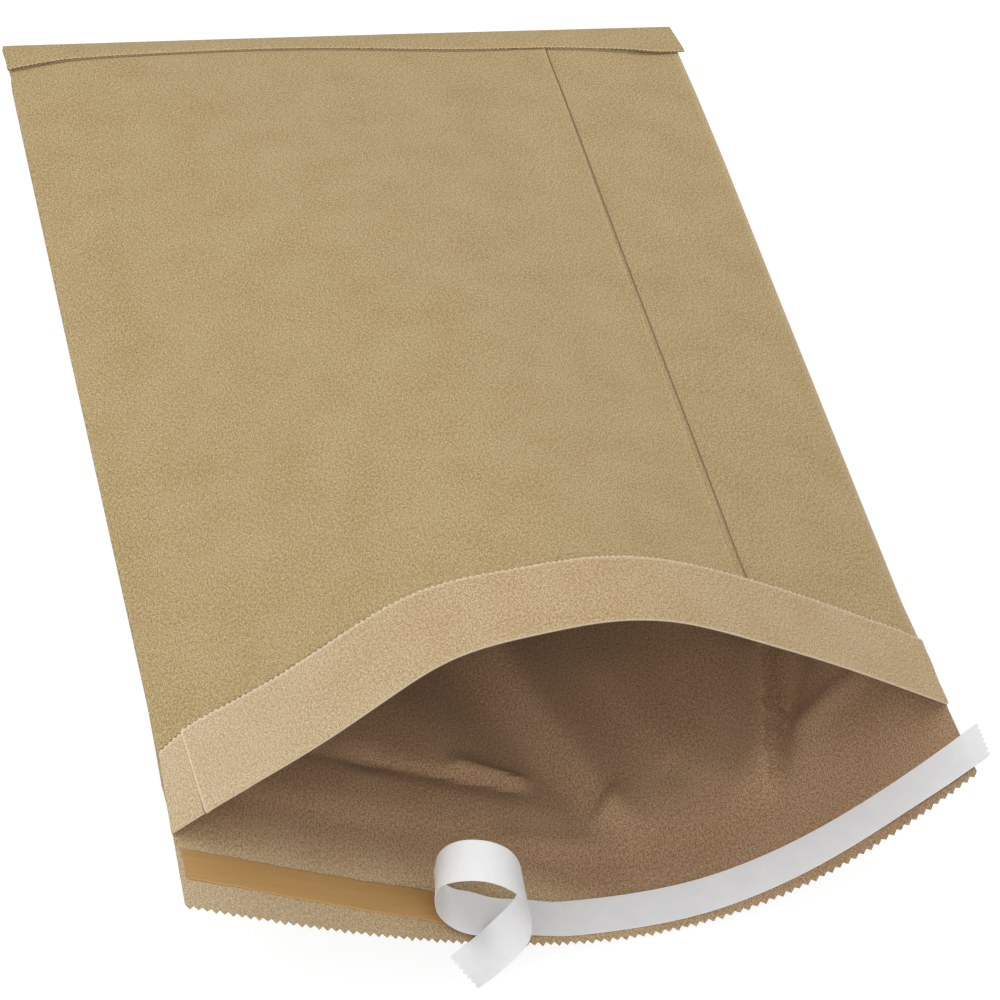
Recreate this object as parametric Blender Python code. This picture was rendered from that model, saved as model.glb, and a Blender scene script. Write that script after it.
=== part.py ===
"""Padded kraft mailing envelope with its mouth open, lying on its back.

Two kraft tubes, one inside the other, hold a layer of shredded-paper padding
between them.  Each tube is one sheet lapped along its length.  The closed end
is folded over on to the front as a hem.  At the mouth the front panel of both
tubes is folded back as a cuff, and the back panel runs on as the closing flap.
A strip of adhesive crosses the flap, and its release liner is half peeled off.

Metres, +Z up, +X across the envelope, -Y towards the mouth.
"""

import bisect
import math

import bmesh
import bpy
import numpy as np
from mathutils import Vector

MM = 0.001

# Lengths along the envelope, mm
WIDTH = 317.5            # flat, from side fold to side fold
LENGTH = 454.0           # far fold to the cuff's fold
HEM = 25.4               # far end folded over on to the front
CUFF = 38.1              # front panel folded back at the mouth
FLAP = 31.75             # back panel beyond the cuff's fold

# Sheets, mm
PLY = 0.2                # one kraft sheet
PAD = 2.4                # shredded-paper padding in each wall
PAD_SIDE = 0.15          # share of the padding left where a side fold crushes it
PAD_CRUSH = 26.0         # width beside a side fold where the padding thins
PAD_EDGE = 0.5           # padding thickness where it ends
GAP = 0.3                # clearance between touching pieces
SELF_GAP = 0.15          # clearance where a sheet is folded on itself
CLEAR = 0.3              # half the clearance between front and back, inside

# How the padding ends, mm from the far fold and from the cuff's fold
PAD_START = 4.0
PAD_FULL = 14.0
PAD_STOP = 20.0
PAD_FLAT = 12.0

# Lap seams, mm from the left side fold
LAP = 15.0
OUTER_SEAM_FAR = 250.0
OUTER_SEAM_MOUTH = 228.0
INNER_SEAM = 11.0
LAP_RAMP = 6.0           # width over which the upper sheet climbs on to the lower
LAP_STEP = PLY + SELF_GAP

# Shape of the open mouth: height of each sheet as a sum of half waves, mm
FRONT_WAVES = (62.4, 1.6, -3.1, -0.8)
BACK_WAVES = (62.8, -8.6, -0.3, 1.1)
END_SOFTNESS = 8.0       # length over which the sheets part at the far fold
MOUTH_SHIFT = 15.3       # the flap's edge lies this far to the right
MOUTH_SKEW = 27.8        # the left side is this much longer than the right

# Cut edges, mm
FINE_TOOTH = 2.2
COARSE_TOOTH = 3.3
FINE_DEPTH = 0.9
COARSE_DEPTH = 1.8
HIDDEN_SHORT = 1.5       # the hem's hidden sheets end this far before its edge

# Adhesive and its liner, mm past the cuff's fold
GLUE_START = 8.2         # at the flap's left end
GLUE_LEAN = 6.0          # the strip lies this much further out once under the liner
GLUE_WIDTH = 12.7
GLUE_THICKNESS = 0.3
GLUE_INSET = 4.0         # from each end of the flap
LINER_START = 13.5
LINER_WIDTH = 14.3
LINER_THICKNESS = 0.2
LINER_OVERHANG = 7.0     # beyond the flap's right end
PEEL = 113.0             # from the left side fold to where the liner lifts off
ROLL_RADIUS = 17.0
ROLL_TURN = 338.0        # degrees of the curl before the tail runs straight
ROLL_SLANT = 15.0        # degrees between the curl's axis and square across the liner
TAIL = 22.0

# Mesh density
COLUMNS = 12             # facets across each panel
ROWS = 5                 # facets from the hem's edge to the cuff's edge
SIDE_COLUMNS = 1         # extra columns round each side fold
TURN_STEPS = 3           # facets round each sheet fold
ROLL_STEPS = 16
LINER_LANES = 3          # facets across the liner
ARC_STEPS = 400          # stations of each tabulated arc
SHARE_STEP = 0.002       # share of the width over which a tangent is taken
LENGTH_STEP = 0.2        # length over which a tangent is taken

REACH = LENGTH + FLAP
INNER_MID = CLEAR + PLY / 2
OUTER_MID = CLEAR + PLY + GAP + PLY / 2
FOLD_RADIUS = CLEAR + 2 * PLY + GAP + LAP_STEP + SELF_GAP

FRONT, RIGHT, BACK, LEFT = "front", "right", "back", "left"


class Arc:
    """A sheet as wide as the envelope, bent into a wave of the same length."""

    def __init__(self, waves):
        self.s = np.linspace(0.0, 1.0, ARC_STEPS + 1)
        order = np.arange(1, len(waves) + 1)
        phase = np.pi * self.s[:, None] * order
        self.height = np.sin(phase) @ np.array(waves)
        slope = np.cos(phase) @ (np.pi * order * np.array(waves))
        run = np.sqrt(WIDTH ** 2 - slope ** 2)
        step = (run[1:] + run[:-1]) / 2 * np.diff(self.s)
        x = np.concatenate([[0.0], np.cumsum(step)])
        self.chord = x[-1]
        self.across = x / x[-1] - 0.5

    def at(self, s):
        return np.interp(s, self.s, self.across), np.interp(s, self.s, self.height)


ARCH = Arc(FRONT_WAVES)
BOW = Arc(BACK_WAVES)


def back_stops():
    """Places of the back's columns: one facet is level, where the belly rests."""
    width = 1.0 / COLUMNS
    starts = [s for s in BOW.s if s <= 1.0 - width]
    level = max(starts, key=lambda s: min(BOW.at(s)[1], BOW.at(s + width)[1]))
    stops = [level % width + k * width for k in range(COLUMNS)]
    return [0.0] + [s for s in stops if 0.2 * width < s < 1.0 - 0.2 * width] + [1.0]


def rise(t, length):
    """Share of the mouth's height reached at t from the far fold, starting level."""
    return t * t / (t + END_SOFTNESS) * (length + END_SOFTNESS) / length ** 2


def panel_point(panel, s, t):
    """Point of the bare tube: s across the panel from 0 to 1, t from the far fold."""
    arc, length, sign = (ARCH, LENGTH, 1.0) if panel == FRONT else (BOW, REACH, -1.0)
    across, height = arc.at(s)
    share = length / REACH
    chord = WIDTH - (WIDTH - BOW.chord) * share
    x0 = (s - 0.5) * WIDTH
    x1 = across * chord + MOUTH_SHIFT * share
    run = math.sqrt(length ** 2 - height ** 2 - (x1 - x0) ** 2)
    run -= MOUTH_SKEW * share * (s - 0.5)
    w = t / length
    return Vector((x0 + (x1 - x0) * w, LENGTH - run * w, sign * height * rise(t, length)))


def panel_frame(panel, s, t):
    """Point, tangent to the right, tangent to the mouth and outward normal."""
    right, left = min(s + SHARE_STEP, 1.0), max(s - SHARE_STEP, 0.0)
    across = panel_point(panel, right, t) - panel_point(panel, left, t)
    ahead, behind = t + LENGTH_STEP, max(t - LENGTH_STEP, 0.0)
    along = panel_point(panel, s, ahead) - panel_point(panel, s, behind)
    if t < LENGTH_STEP:
        along = Vector((along.x, along.y, 0.0))
    across.normalize()
    along.normalize()
    normal = along.cross(across) if panel == FRONT else across.cross(along)
    normal.normalize()
    return panel_point(panel, s, t), across, along, normal


def side_normal(side, front_normal, back_normal, turn):
    """Outward direction round a side fold, from the front's normal to the back's."""
    start = math.atan2(front_normal.z, front_normal.x)
    stop = math.atan2(back_normal.z, back_normal.x)
    if side == LEFT:
        angle = start + ((stop - start) % math.tau) * turn
    else:
        angle = start - ((start - stop) % math.tau) * turn
    return Vector((math.cos(angle), 0.0, math.sin(angle)))


class Column:
    """A line along the tube: its panel, its place across, and its lap lift."""

    def __init__(self, panel, s=0.0, turn=0.0, lift=0.0, slope=0.0):
        self.panel = panel
        self.s = s
        self.turn = turn
        self.lift = lift
        self.slope = slope

    def place(self, t):
        return self.s + self.slope * min(max(t, 0.0), LENGTH)

    def girth(self, t):
        return self.place(t) * WIDTH


def filling(column, t):
    """Room that the padding takes in the wall, outwards and inwards of the bare tube.

    It is all outwards, apart from the front panel: there it turns inwards by
    degrees towards the mouth, so that the outer sheet runs straight to the cuff.
    """
    s = column.place(t)
    from_fold = 0.0 if column.panel in (LEFT, RIGHT) else min(s, 1.0 - s) * WIDTH
    clear_of_fold = float(np.interp(from_fold, (0.0, PAD_CRUSH), (0.0, 1.0)))
    full = GAP + PAD * (PAD_SIDE + (1.0 - PAD_SIDE) * clear_of_fold)
    edge = GAP + PAD_EDGE
    knots = (0.0, PAD_START, PAD_FULL, LENGTH - CUFF, LENGTH - PAD_STOP, LENGTH - PAD_FLAT)
    room = float(np.interp(t, knots, (0.0, edge, full, full, edge, 0.0)))
    inward = clear_of_fold * min(t / LENGTH, 1.0) if column.panel == FRONT else 0.0
    return room * (1.0 - inward), room * inward


def wall(column, row, height, outside=False):
    """Point of a layer at a height above the bare tube, inside or outside the padding.

    A row is a zone with its measure: hem and cuff rows count back from the fold,
    a turn is an angle, and body and flap rows count from the far fold.
    """
    zone, value = row
    turned = {"hem": value, "far": 0.0, "mouth": LENGTH, "cuff": LENGTH - value}
    t = turned.get(zone, value)
    side = {LEFT: 0.0, RIGHT: 1.0}.get(column.panel)
    s = column.place(t) if side is None else side
    outwards, inwards = filling(column, t)
    if zone in ("body", "flap"):
        height += outwards if outside else -inwards
        if side is None:
            point, _, _, normal = panel_frame(column.panel, s, t)
            return point + normal * height
        point, _, _, front = panel_frame(FRONT, s, t)
        back = panel_frame(BACK, s, t)[3]
        return point + side_normal(column.panel, front, back, column.turn) * height

    # Folded over: level is the layer's height above the folded tube's middle
    point, across, along, normal = panel_frame(FRONT, s, t)
    angle = math.pi * (1.0 if column.panel == BACK else column.turn)
    level = height * math.cos(angle)
    out = across * (height * math.sin(angle) * (-1.0 if column.panel == LEFT else 1.0))
    if zone in ("hem", "cuff"):
        return point + normal * (2 * FOLD_RADIUS + outwards - level) + out
    away = along if zone == "mouth" else -along
    radius = FOLD_RADIUS - level
    return (point + normal * (FOLD_RADIUS - radius * math.cos(value))
            + away * (radius * math.sin(value)) + out)


class Sheet:
    """A thin solid on a grid: its faces are listed once, as seen from outside."""

    def __init__(self, name, colour, roughness):
        self.name = name
        self.colour = colour
        self.roughness = roughness
        self.points = {}
        self.faces = []

    def point(self, key, outer, inner):
        self.points[key] = (outer, inner)
        return key

    def quad(self, a, b, c, d):
        self.faces += [(a, b, c), (a, c, d)]

    def teeth(self, left, right, fine_left, fine_right, edge_left, edge_right, count, name):
        """Fan a facet out to a row of teeth between two columns."""
        pairs = [self.points[k] for k in (fine_left, fine_right, edge_left, edge_right)]

        def between(i, j, f):
            return [pairs[i][side].lerp(pairs[j][side], f) for side in (0, 1)]

        base = [fine_left]
        for k in range(1, count):
            base.append(self.point((name, "base", k), *between(0, 1, k / count)))
        base.append(fine_right)
        middle = count // 2
        for k in range(count):
            self.faces.append((left if k < middle else right, base[k + 1], base[k]))
            tip = self.point((name, "tip", k), *between(2, 3, (k + 0.5) / count))
            self.faces.append((base[k], base[k + 1], tip))
        self.faces.append((left, right, base[middle]))

    def build(self, parent):
        mesh = bmesh.new()
        verts = {}
        used = {key for face in self.faces for key in face}
        for key in sorted(used, key=str):
            for side in (0, 1):
                verts[key, side] = mesh.verts.new(self.points[key][side] * MM)
        edges = {}
        for face in self.faces:
            mesh.faces.new([verts[key, 0] for key in face])
            mesh.faces.new([verts[key, 1] for key in reversed(face)])
            for a, b in zip(face, face[1:] + face[:1]):
                edges[a, b] = True
        for a, b in edges:
            if (b, a) not in edges:
                mesh.faces.new((verts[b, 0], verts[a, 0], verts[a, 1]))
                mesh.faces.new((verts[b, 0], verts[a, 1], verts[b, 1]))
        bmesh.ops.recalc_face_normals(mesh, faces=mesh.faces)
        data = bpy.data.meshes.new(self.name)
        mesh.to_mesh(data)
        mesh.free()
        data.materials.append(material(self.name, self.colour, self.roughness))
        data.shade_smooth()
        data.set_sharp_from_angle(angle=math.radians(30))
        node = bpy.data.objects.new(self.name, data)
        bpy.context.scene.collection.objects.link(node)
        node.parent = parent
        return node


def material(name, colour, roughness):
    """Principled material with a colour given in linear values."""
    made = bpy.data.materials.new(name)
    made.use_nodes = True
    shader = made.node_tree.nodes["Principled BSDF"]
    shader.inputs["Base Color"].default_value = (*colour, 1.0)
    shader.inputs["Roughness"].default_value = roughness
    return made


def around(front_left, front_right):
    """Columns right round the tube between the two parts of the front panel."""
    turns = [(k + 1) / (SIDE_COLUMNS + 1) for k in range(SIDE_COLUMNS)]
    right = [Column(RIGHT, turn=turn) for turn in turns]
    back = [Column(BACK, s) for s in reversed(back_stops())]
    left = [Column(LEFT, turn=turn) for turn in reversed(turns)]
    return front_right + right + back + left + front_left


def seam_slope():
    """Drift of the outer seam across the panel, as a share of it for each mm."""
    return (OUTER_SEAM_MOUTH - OUTER_SEAM_FAR) / WIDTH / LENGTH


def front_columns():
    """Front columns that every layer shares: two of them follow the lap seams."""
    before_seam = (OUTER_SEAM_FAR - LAP - LAP_RAMP) / WIDTH
    drift = seam_slope()
    near = 0.4 / COLUMNS
    ends = (before_seam, before_seam + drift * LENGTH)
    kept = [k / COLUMNS for k in range(COLUMNS + 1)]
    kept = [s for s in kept if not min(ends) - near < s < max(ends) + near / 2]
    inner_under = (INNER_SEAM + LAP) / WIDTH
    kept = [s for s in kept if s == 0.0 or abs(s - inner_under) > near]
    columns = [Column(FRONT, s) for s in kept]
    columns += [Column(FRONT, before_seam, slope=drift), Column(FRONT, inner_under)]
    return sorted(columns, key=lambda column: column.s)


def outer_columns():
    """The left part of the front laps over the right part, along a slanting seam."""
    drift = seam_slope()
    edge = OUTER_SEAM_FAR / WIDTH
    under = edge - LAP / WIDTH
    shared = front_columns()
    left = [column for column in shared if column.s < under]
    left += [Column(FRONT, under - PLY / WIDTH, lift=LAP_STEP, slope=drift),
             Column(FRONT, edge, lift=LAP_STEP, slope=drift)]
    right = [Column(FRONT, under, slope=drift)]
    right += [column for column in shared if column.s > under]
    return around(left, right)


def inner_columns():
    """The right part of the front laps over the left part, inside the tube."""
    edge = INNER_SEAM / WIDTH
    under = (INNER_SEAM + LAP) / WIDTH
    shared = front_columns()
    right = [Column(FRONT, edge, lift=-LAP_STEP), Column(FRONT, under, lift=-LAP_STEP)]
    right += [column for column in shared if column.s > under]
    left = [column for column in shared if column.s <= under]
    return around(left, right)


def tube_rows(hem_depth, hem_short):
    """Rows from the hem's edge to the cuff's fold, and those of the cuff and flap."""
    turns = [math.pi * k / TURN_STEPS for k in range(1, TURN_STEPS)]
    hem = [("hem", HEM - hem_short), ("hem", HEM - hem_short - hem_depth),
           ("hem", PAD_FULL), ("hem", PAD_START), ("hem", 0.0)]
    far = [("far", angle) for angle in reversed(turns)]
    body = [("body", t) for t in (0.0, PAD_START, PAD_FULL, HEM)]
    span = LENGTH - CUFF - HEM
    body += [("body", HEM + span * k / ROWS) for k in range(1, ROWS + 1)]
    body += [("body", LENGTH - PAD_STOP), ("body", LENGTH - PAD_FLAT), ("body", LENGTH)]
    cuff = [("mouth", angle) for angle in turns]
    cuff += [("cuff", t) for t in (0.0, PAD_FLAT, PAD_STOP, CUFF - FINE_DEPTH, CUFF)]
    flap = [("flap", LENGTH + GLUE_START), ("flap", REACH - COARSE_DEPTH), ("flap", REACH)]
    return hem, far + body, cuff, flap


def ply(name, columns, middle, outside, hem_toothed, colour, roughness):
    """One kraft sheet: hem, tube, cuff and flap, with toothed cut edges."""
    sheet = Sheet(name, colour, roughness)
    hem, tube, cuff, flap = tube_rows(FINE_DEPTH, 0.0 if hem_toothed else HIDDEN_SHORT)

    def key(i, row):
        tag = (i, row)
        if tag not in sheet.points:
            height = middle + columns[i].lift
            faces = [wall(columns[i], row, height + side * PLY / 2, outside) for side in (1, -1)]
            sheet.point(tag, *faces)
        return tag

    def strip(rows, allowed):
        for upper, lower in zip(rows, rows[1:]):
            for i in range(len(columns) - 1):
                if allowed(columns[i], columns[i + 1]):
                    sheet.quad(key(i, upper), key(i + 1, upper), key(i + 1, lower), key(i, lower))

    def teeth(row, base, edge, pitch, allowed, forward):
        for i in range(len(columns) - 1):
            one, two = columns[i], columns[i + 1]
            if not allowed(one, two):
                continue
            t = {"hem": 0.0}.get(row[0], LENGTH)
            width = abs(two.girth(t) - one.girth(t))
            count = max(1, round(width / pitch))
            a, b = (i, i + 1) if forward else (i + 1, i)
            sheet.teeth(key(a, row), key(b, row), key(a, base), key(b, base), key(a, edge),
                        key(b, edge), count, (name, edge, i))

    def everywhere(one, two):
        return True

    def both(panel):
        return lambda one, two: one.panel == panel and two.panel == panel

    def elsewhere(one, two):
        return not both(BACK)(one, two)

    if hem_toothed:
        strip(hem[2:] + tube, everywhere)
        teeth(hem[2], hem[1], hem[0], FINE_TOOTH, both(BACK), False)
        strip(hem[1:3], elsewhere)
    else:
        strip(hem[:1] + hem[2:] + tube, everywhere)
    strip([tube[-1]] + cuff[:-2], both(FRONT))
    teeth(cuff[-3], cuff[-2], cuff[-1], FINE_TOOTH, both(FRONT), True)
    strip([tube[-1]] + flap[:-2], both(BACK))
    teeth(flap[-3], flap[-2], flap[-1], COARSE_TOOTH, both(BACK), True)
    return sheet


def padding(colour, roughness):
    """Shredded-paper layer all round the tube, between the two sheets."""
    sheet = Sheet("fibre_padding", colour, roughness)
    columns = around(front_columns(), [])
    rows = [row for row in tube_rows(FINE_DEPTH, 0.0)[1] if row[0] == "body"]
    rows = [row for row in rows if PAD_START <= row[1] <= LENGTH - PAD_STOP]
    lowest = CLEAR + PLY + GAP

    def key(i, row):
        i %= len(columns)
        if (i, row) not in sheet.points:
            sheet.point((i, row), wall(columns[i], row, lowest - GAP, True),
                        wall(columns[i], row, lowest))
        return i, row

    for upper, lower in zip(rows, rows[1:]):
        for i in range(len(columns)):
            sheet.quad(key(i, upper), key(i + 1, upper), key(i + 1, lower), key(i, lower))
    return sheet


def flap_point(s, t, height):
    """Point on the flap's facets, and past its ends along their tangents."""
    stops = back_stops()
    k = min(max(bisect.bisect(stops, s) - 1, 0), len(stops) - 2)
    share = (s - stops[k]) / (stops[k + 1] - stops[k])
    ends = [wall(Column(BACK, stop), ("flap", t), height) for stop in stops[k:k + 2]]
    return ends[0] + (ends[1] - ends[0]) * share


def adhesive(colour, roughness):
    """Hot-melt strip across the flap, on its inner face."""
    sheet = Sheet("adhesive_strip", colour, roughness)
    top = CLEAR - GAP
    inset = GLUE_INSET / WIDTH
    peel = PEEL / WIDTH
    stops = {inset, peel, 1.0 - inset} | {s for s in back_stops() if inset < s < 1.0 - inset}
    stops = sorted(stops)
    for i, s in enumerate(stops):
        start = GLUE_START + GLUE_LEAN * min(s / peel, 1.0)
        for j, t in enumerate((start, start + GLUE_WIDTH)):
            sheet.point((i, j), flap_point(s, LENGTH + t, top),
                        flap_point(s, LENGTH + t, top - GLUE_THICKNESS))
    for i in range(len(stops) - 1):
        sheet.quad((i, 0), (i, 1), (i + 1, 1), (i + 1, 0))
    return sheet


def liner(colour, roughness):
    """Release liner: stuck down on the right, curled back and hanging on the left."""
    sheet = Sheet("release_liner", colour, roughness)
    half = LINER_WIDTH / 2
    height = CLEAR - 2 * GAP - GLUE_THICKNESS - LINER_THICKNESS / 2
    middle = LENGTH + LINER_START + half
    peel = PEEL / WIDTH

    # Stuck run, from its cut end past the flap to where it lifts off
    stops = [1.0 + LINER_OVERHANG / WIDTH]
    stops += [s for s in reversed(back_stops()) if peel < s < 1.0] + [peel]
    stations = []
    for s in stops:
        edges = [flap_point(s, middle + side * half, height) for side in (-1, 1)]
        normal = -panel_frame(BACK, min(s, 1.0), middle)[3]
        stations.append((edges[0], edges[1], normal))

    # Curl: the strip is wound on a cylinder whose axis is slanted to it
    start = flap_point(peel, middle, height)
    along = (start - flap_point(peel + 0.01, middle, height)).normalized()
    across = panel_frame(BACK, peel, middle)[2]
    up = along.cross(across).normalized()
    up = up if up.z > 0 else -up
    across = (across - along * across.dot(along)).normalized()
    slant = math.radians(ROLL_SLANT)
    axis = across * math.cos(slant) + along * math.sin(slant)
    roll = along * math.cos(slant) - across * math.sin(slant)
    centre = start + up * ROLL_RADIUS

    def wound(length, offset):
        """Point and inward normal of the strip, by distance along and across it."""
        round_it = length * math.cos(slant) - offset * math.sin(slant)
        beside = length * math.sin(slant) + offset * math.cos(slant)
        last = math.radians(ROLL_TURN)
        angle = min(max(round_it / ROLL_RADIUS, 0.0), last)
        rest = round_it - angle * ROLL_RADIUS
        inward = up * math.cos(angle) - roll * math.sin(angle)
        forward = roll * math.cos(angle) + up * math.sin(angle)
        return centre - inward * ROLL_RADIUS + forward * rest + axis * beside, inward

    curl = math.radians(ROLL_TURN) * ROLL_RADIUS / math.cos(slant)
    lengths = [curl * k / ROLL_STEPS for k in range(1, ROLL_STEPS + 1)]
    lengths += [curl + TAIL / 3, curl + TAIL * 2 / 3, curl + TAIL]
    for length in lengths:
        near = wound(length, half)[0]
        far = wound(length, -half)[0]
        stations.append((far, near, wound(length, 0.0)[1]))

    for i, (far, near, normal) in enumerate(stations):
        for j in range(LINER_LANES + 1):
            point = far.lerp(near, j / LINER_LANES)
            offset = normal * (LINER_THICKNESS / 2)
            sheet.point((i, j), point + offset, point - offset)
    for i in range(len(stations) - 1):
        for j in range(LINER_LANES):
            sheet.quad((i, j), (i + 1, j), (i + 1, j + 1), (i, j + 1))
    for i, beyond in ((0, 1), (len(stations) - 1, len(stations) - 2)):
        for j in range(LINER_LANES):
            for k in (0, 1):
                ends = [sheet.points[i, j][k], sheet.points[i, j + 1][k]]
                behind = [sheet.points[beyond, j][k], sheet.points[beyond, j + 1][k]]
                out = (ends[0] - behind[0]).normalized() * FINE_DEPTH
                tip = ends[0].lerp(ends[1], 0.5) + out
                if k == 0:
                    outer = tip
            sheet.point(("tip", i, j), outer, tip)
            face = ((i, j), (i, j + 1), ("tip", i, j))
            sheet.faces.append(face[::-1] if i else face)
    return sheet


def lay_down(stand, nodes):
    """Tilt the envelope on to its padded belly and stand it on the origin."""
    lowest = max(back_stops(), key=lambda s: BOW.at(s)[1])
    ends = [panel_point(BACK, lowest, t) for t in (HEM, LENGTH - CUFF)]
    drop = ends[1] - ends[0]
    tilt = math.atan2(-drop.z, -drop.y)
    stand.rotation_euler = (-tilt, 0.0, 0.0)
    bpy.context.view_layer.update()
    corners = np.array([node.matrix_world @ v.co for node in nodes for v in node.data.vertices])
    low = corners.min(axis=0)
    high = corners.max(axis=0)
    stand.location = (-(low[0] + high[0]) / 2, -(low[1] + high[1]) / 2, -low[2])


def main():
    for old in list(bpy.data.objects):
        bpy.data.objects.remove(old, do_unlink=True)
    stand = bpy.data.objects.new("stand", None)
    bpy.context.scene.collection.objects.link(stand)
    kraft = (0.48, 0.36, 0.19)
    plain_kraft = (0.42, 0.30, 0.17)
    sheets = [
        ply("outer_ply", outer_columns(), OUTER_MID, True, True, kraft, 0.85),
        ply("inner_ply", inner_columns(), INNER_MID, False, False, plain_kraft, 0.88),
        padding((0.40, 0.36, 0.30), 0.95),
        adhesive((0.38, 0.22, 0.08), 0.45),
        liner((0.82, 0.82, 0.81), 0.5),
    ]
    nodes = [sheet.build(stand) for sheet in sheets]
    lay_down(stand, nodes)


main()
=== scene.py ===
"""Looks of an open padded kraft mailing envelope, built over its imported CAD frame.

Two kraft sheets, a fibre padding, an adhesive strip and a release liner are worked out
as numpy surfaces in the envelope's own millimetres, laid down in the row frame and
given paper, fibre, hot-melt and silicone-coated finishes.
"""

import logging
import math
from dataclasses import dataclass, field
from enum import Enum, IntEnum
from typing import Any, Optional, Sequence

import bmesh
import bpy
import numpy as np
from mathutils import Matrix

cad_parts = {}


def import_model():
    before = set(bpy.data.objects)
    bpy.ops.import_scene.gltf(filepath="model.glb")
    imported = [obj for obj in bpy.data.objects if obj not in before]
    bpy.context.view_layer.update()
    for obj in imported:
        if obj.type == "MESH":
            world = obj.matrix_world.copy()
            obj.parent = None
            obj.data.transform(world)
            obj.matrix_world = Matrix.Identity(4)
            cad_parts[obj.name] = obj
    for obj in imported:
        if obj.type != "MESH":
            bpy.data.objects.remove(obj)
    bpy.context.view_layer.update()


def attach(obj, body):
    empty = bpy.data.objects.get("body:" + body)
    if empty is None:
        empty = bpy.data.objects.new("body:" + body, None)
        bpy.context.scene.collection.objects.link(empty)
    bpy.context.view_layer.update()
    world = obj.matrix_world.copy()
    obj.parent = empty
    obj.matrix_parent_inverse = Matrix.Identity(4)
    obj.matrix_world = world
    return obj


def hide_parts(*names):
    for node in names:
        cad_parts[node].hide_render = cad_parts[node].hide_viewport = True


LOG = logging.getLogger("padded_envelope")
MM = 0.001
BODY = "root"
FLAT_MAP = "flat_sheet"
# Point attribute: rubbing on folds and cut edges, painted highlights on the folds, painted light
# on the left ends of the cuff and flap, and painted shadow lines beside edges.
WEAR_AND_PAINTED_LIGHT = "rubbing_and_painted_light"
# Point attribute: painted shade inside the pocket and over the flap's right part.
PAINTED_SHADE = "pocket_painted_shade"
SHARP_DEGREES = 35
FAR_OFF_MM = 99.0
ARC_STATIONS = 801
BESIDE_LAP_MM = (0.0, 0.3, 0.6, 0.9, 1.4)
TO_CUT_EDGE_MM = (0.0, 0.35, 0.8, 1.5, 2.5, 4.0, 6.0, 9.0, 12.0)
LAP_STEPS = 5
CURL_MM = 4.0
Array = np.ndarray


class Face(IntEnum):
    """Which part of the flattened tube a column of points lies on."""

    FRONT = 0
    RIGHT = 1
    BACK = 2
    LEFT = 3


class Zone(Enum):
    """Stretch of a sheet, from the hem's cut edge to the cuff's or the flap's."""

    HEM = "hem"
    FAR_FOLD = "far fold"
    TUBE = "tube"
    MOUTH_FOLD = "mouth fold"
    CUFF = "cuff"
    FLAP = "flap"


@dataclass(frozen=True)
class EnvelopeSizes:
    """Lengths of the envelope in millimetres, as the CAD model has them."""

    width: float = 317.5
    length: float = 454.0
    hem: float = 25.4
    cuff: float = 38.1
    flap: float = 31.75
    flap_more: float = 0.9
    ply: float = 0.17
    padding: float = 2.4
    padding_side_share: float = 0.15
    padding_crush: float = 26.0
    padding_edge: float = 0.5
    gap: float = 0.06
    self_gap: float = 0.03
    clear: float = 0.1
    padding_start: float = 4.0
    padding_full: float = 14.0
    padding_stop: float = 20.0
    padding_flat: float = 12.0
    lap: float = 15.0
    lap_ramp: float = 6.0
    outer_seam_far: float = 252.6
    outer_seam_mouth: float = 229.7
    inner_seam: float = 13.6
    inner_seam_drift: float = -4.1
    end_softness: float = 8.0
    mouth_shift: float = 15.3
    mouth_skew: float = 27.8
    far_start: float = 4.0
    side_arc: float = 1.2

    @property
    def reach(self) -> float:
        """Far fold to the flap's cut edge."""
        return self.length + self.flap

    @property
    def lap_step(self) -> float:
        """Height by which a lapped sheet climbs over itself."""
        return self.ply + self.self_gap

    @property
    def inner_level(self) -> float:
        """Middle of the inner sheet above the bare tube."""
        return self.clear + self.ply / 2

    @property
    def outer_level(self) -> float:
        """Middle of the outer sheet above the bare tube, without padding."""
        return self.clear + self.ply + self.gap + self.ply / 2

    @property
    def fold_radius(self) -> float:
        """Radius on which the hem and the cuff are folded over."""
        return self.clear + 2 * self.ply + self.gap + self.lap_step + self.self_gap


class SmoothCurve:
    """Natural cubic through stations.

    Between two stations the value is a cubic, and its slope and curvature carry on
    across each station; the curvature is nought at both ends.
    """

    def __init__(self, at: Sequence[float], values: Any) -> None:
        """Solve for the curvature at each station.

        Args:
            at: increasing places of the stations.
            values: value or vector at each station.
        """
        self.at = np.asarray(at, float)
        self.values = np.asarray(values, float)
        step = np.diff(self.at)
        count = len(self.at)
        system = np.eye(count)
        inside = np.arange(1, count - 1)
        system[inside, inside - 1] = step[:-1]
        system[inside, inside] = 2 * (step[:-1] + step[1:])
        system[inside, inside + 1] = step[1:]
        shape = (-1,) + (1,) * (self.values.ndim - 1)
        slope = np.diff(self.values, axis=0) / step.reshape(shape)
        right = np.zeros_like(self.values)
        right[1:-1] = 6 * np.diff(slope, axis=0)
        self.bend = np.linalg.solve(system, right)

    def __call__(self, place: Array) -> Array:
        """Value at each place, held at the ends.

        Args:
            place: places along the curve.

        Returns:
            Array of the values, with the places' shape first.
        """
        place = np.clip(np.asarray(place, float), self.at[0], self.at[-1])
        k = np.clip(np.searchsorted(self.at, place, side="right") - 1, 0, len(self.at) - 2)
        step = self.at[k + 1] - self.at[k]
        ahead = (self.at[k + 1] - place) / step
        behind = (place - self.at[k]) / step
        if self.values.ndim > 1:
            step, ahead, behind = step[..., None], ahead[..., None], behind[..., None]
        return (ahead * self.values[k] + behind * self.values[k + 1]
                + ((ahead ** 3 - ahead) * self.bend[k]
                   + (behind ** 3 - behind) * self.bend[k + 1]) * step ** 2 / 6)


def smooth_step(x: Array) -> Array:
    """Rise from nought to one: three x squared less two x cubed, held outside 0 to 1."""
    x = np.clip(x, 0.0, 1.0)
    return x * x * (3 - 2 * x)


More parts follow.
